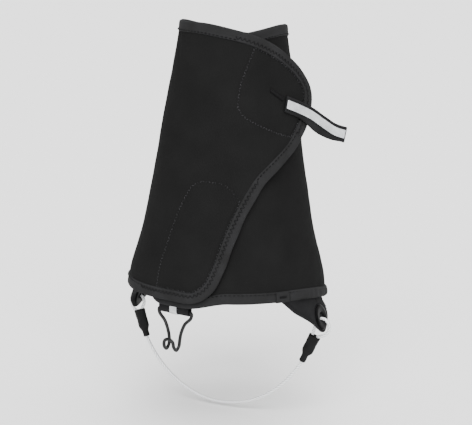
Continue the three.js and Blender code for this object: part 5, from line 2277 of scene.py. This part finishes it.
@dataclass
class PullTab:
    """The webbing tab that opens the flap, with its reflective stripe and bar tack. Sizes in mm."""

    wrap: Wrap
    width: float = 11.8
    thickness: float = 1.6
    stripe: float = 6.2
    droop: float = 3.2

    root = np.array([47.514, -16.419, 142.8])
    along = np.array([0.3773, 0.9261, 0.0])
    out = np.array([0.9138, -0.3723, 0.1621])
    route = [(0, 0, 0), (12, 0.1, -4.3), (24, 0.5, -9.6), (34, 1.8, -16.3), (43, 4.2, -22.6), (51, 7.4, -26)]

    def line(self) -> Array:
        """Middle line of the tab's underside, in mm.

        Returns:
            Points in mm.
        """
        up = np.cross(self.out, self.along)
        axes = np.array([self.along, self.out, up])
        return self.root + smooth_curve(self.route, 70) @ axes

    def band(
        self, name: str, section: Array, trim: int, wave: float, droop: float = 0.0
    ) -> Piece:
        """A band along the tab.

        Args:
            name: The piece's name.
            section: Points across it.
            trim: Line steps left off each end.
            wave: How uneven it is, in mm.
            droop: How far its lower edge hangs out in the middle, in mm.

        Returns:
            The band.
        """
        line, across, off = self.axes()
        keep = slice(trim, len(line) - trim)
        lift = wave * ripple(section[None, :, 0], np.arange(len(line))[:, None] * 0.8, 21.0, 0.5)
        offset = section[None, :, 1:] + lift[..., None]
        share = np.linspace(0, 1, len(line))
        sag = droop * np.sin(np.pi * np.clip((share - 0.25) / 0.7, 0, 1)) ** 1.4
        lower = np.where(section[None, :, :1] < 0, sag[:, None, None], 0)
        reach = section[None, :, :1] * (1 + lower / self.width * 2)
        rings = line[:, None] + reach * across[:, None] + offset * off[:, None]
        return loft(name, rings[keep])

    def axes(self) -> tuple[Array, Array, Array]:
        """The tab's line with the directions across it and off its face, at each point.

        Returns:
            The line, across and off.
        """
        line = self.line()
        forward = unit(np.gradient(line, axis=0))
        across = unit(np.cross(self.out, forward))
        return line, across, np.cross(forward, across)

    def build(self) -> None:
        """Make the tab."""
        section = rounded_band(self.width, 0.0, self.thickness, 0.5, 14)
        webbing = self.band("pull_tab_strap", section, 0, 0.12, self.droop)
        self.wrap.fit(webbing, Slot.WEBBING, "pull_tab", "pull_tab_webbing")
        low = self.thickness + 0.06
        stripe = self.band("pull_tab_stripe", rounded_band(self.stripe, low, low + 0.35, 0.25, 8), 1, 0.12)
        self.wrap.fit(stripe, Slot.REFLECTIVE, "pull_tab", "pull_tab_reflector")
        line, across, off = (part[2:-2] for part in self.axes())
        seams = [(line + across * x + off * (self.thickness + 0.03), off) for x in (-4.3, 4.3)]
        stitch = Stitch(pitch=2.4, length=1.8, thread=0.17, seed=6)
        self.wrap.thread("pull_tab_stitches", seams, stitch, "pull_tab")
        self.bar_tack()
        LOG.info("pull tab: %.1f mm wide", self.width)

    def bar_tack(self) -> None:
        """The dense ridge of thread beside the tab's root."""
        surface = self.wrap.surface
        path = np.column_stack([np.linspace(57.0, 69.3, 34), np.linspace(152.8, 146.0, 34)])
        flat = surface.fabric + 0.5
        points = surface.front(path[:, 0], path[:, 1], np.full(34, flat))
        away = surface.front(path[:, 0], path[:, 1], np.full(34, flat + 1)) - points
        stitch = Stitch(pitch=0.5, length=3.6, thread=0.42, zigzag=80, seed=8)
        self.wrap.thread("pull_tab_bar_tack", [(points, away)], stitch, "flap", "pull_tab_bartack")


# ---- studio


@dataclass(frozen=True)
class Camera:
    """Where the camera stands: degrees, and metres."""

    azimuth: float = 24.0
    elevation: float = 10.4
    distance: float = 1.156
    lens: float = 120.0
    shift_right: float = 0.0043
    target_height: float = 0.058
    roll: float = 1.5

    def build(self) -> Piece:
        """Make it the scene's camera.

        Returns:
            The camera.
        """
        turn, lift, roll = (np.radians(angle) for angle in (self.azimuth, self.elevation, self.roll))
        level = np.array([np.cos(turn), np.sin(turn), 0])
        ahead = np.array([-np.sin(turn) * np.cos(lift), np.cos(turn) * np.cos(lift), -np.sin(lift)])
        rise = np.cross(level, ahead)
        target = level * self.shift_right + np.array([0, 0, self.target_height])
        right = level * np.cos(roll) + rise * np.sin(roll)
        up = rise * np.cos(roll) - level * np.sin(roll)
        data = bpy.data.cameras.new("Camera")
        data.lens = self.lens
        data.sensor_width = 36
        camera = bpy.data.objects.new("Camera", data)
        bpy.context.collection.objects.link(camera)
        place = target - ahead * self.distance
        axes = [(*axis, 0.0) for axis in (right, up, -ahead)]
        camera.matrix_world = Matrix([*axes, (*place, 1.0)]).transposed()
        bpy.context.scene.camera = camera
        return camera


class Studio:
    """A pale floor, a white surround and soft lights."""

    def floor(self) -> Piece:
        """A large plain floor just under the cable.

        Returns:
            The floor.
        """
        height = -0.0905
        mesh = bpy.data.meshes.new("floor")
        corners = [(x, y, height) for x, y in ((-9, -9), (9, -9), (9, 9), (-9, 9))]
        mesh.from_pydata(corners, [], [(0, 1, 2, 3)])
        material, tree = blank_material("Matt white paper")
        shader = add_node(
            tree, "ShaderNodeBsdfPrincipled", {"Base Color": linear("#f7f7f7"), "Roughness": 0.9,
                                               "Specular IOR Level": 0.1},
        )
        surface_output(tree, shader)
        mesh.materials.append(material)
        floor = bpy.data.objects.new("floor", mesh)
        bpy.context.collection.objects.link(floor)
        return floor

    def light(self, name: str, place: tuple, spread: float, strength: float) -> None:
        """A far, wide light that shines towards the gaiter from a place. spread is in degrees.

        Args:
            name: What to call it.
            place: Where it stands, in metres.
            spread: Its angle.
            strength: Its power.
        """
        data = bpy.data.lights.new(name, "SUN")
        data.angle = float(np.radians(spread))
        data.energy = strength
        lamp = bpy.data.objects.new(name, data)
        bpy.context.collection.objects.link(lamp)
        lamp.location = place
        aim = Vector((0, 0, 0.06)) - Vector(place)
        lamp.rotation_euler = aim.to_track_quat("-Z", "Y").to_euler()

    def build(self) -> None:
        """Light the scene."""
        world = bpy.data.worlds.new("Studio")
        world.use_nodes = True
        back = world.node_tree.nodes["Background"]
        back.inputs["Color"].default_value = (1, 1, 1, 1)
        back.inputs["Strength"].default_value = 0.75
        bpy.context.scene.world = world
        self.floor()
        self.light("Key", (0.7, -1.7, 1.5), 50, 5.0)
        self.light("Top", (0.1, 0.3, 1.9), 70, 2.6)


def main() -> None:
    """Build the gaiter, piece by piece."""
    logging.basicConfig(level=logging.INFO, format="%(message)s")
    Camera().build()
    Studio().build()
    finisher = Finisher()
    Stirrup(finisher).build()
    sewing = Sewing(finisher.materials[Slot.THREAD])
    wrap = Wrap(finisher, sewing)
    wrap.build()
    ClosingPatches(wrap).build()
    SideTabs(wrap).build()
    LaceHook(wrap).build()
    PullTab(wrap).build()


if __name__ == "__main__":
    main()
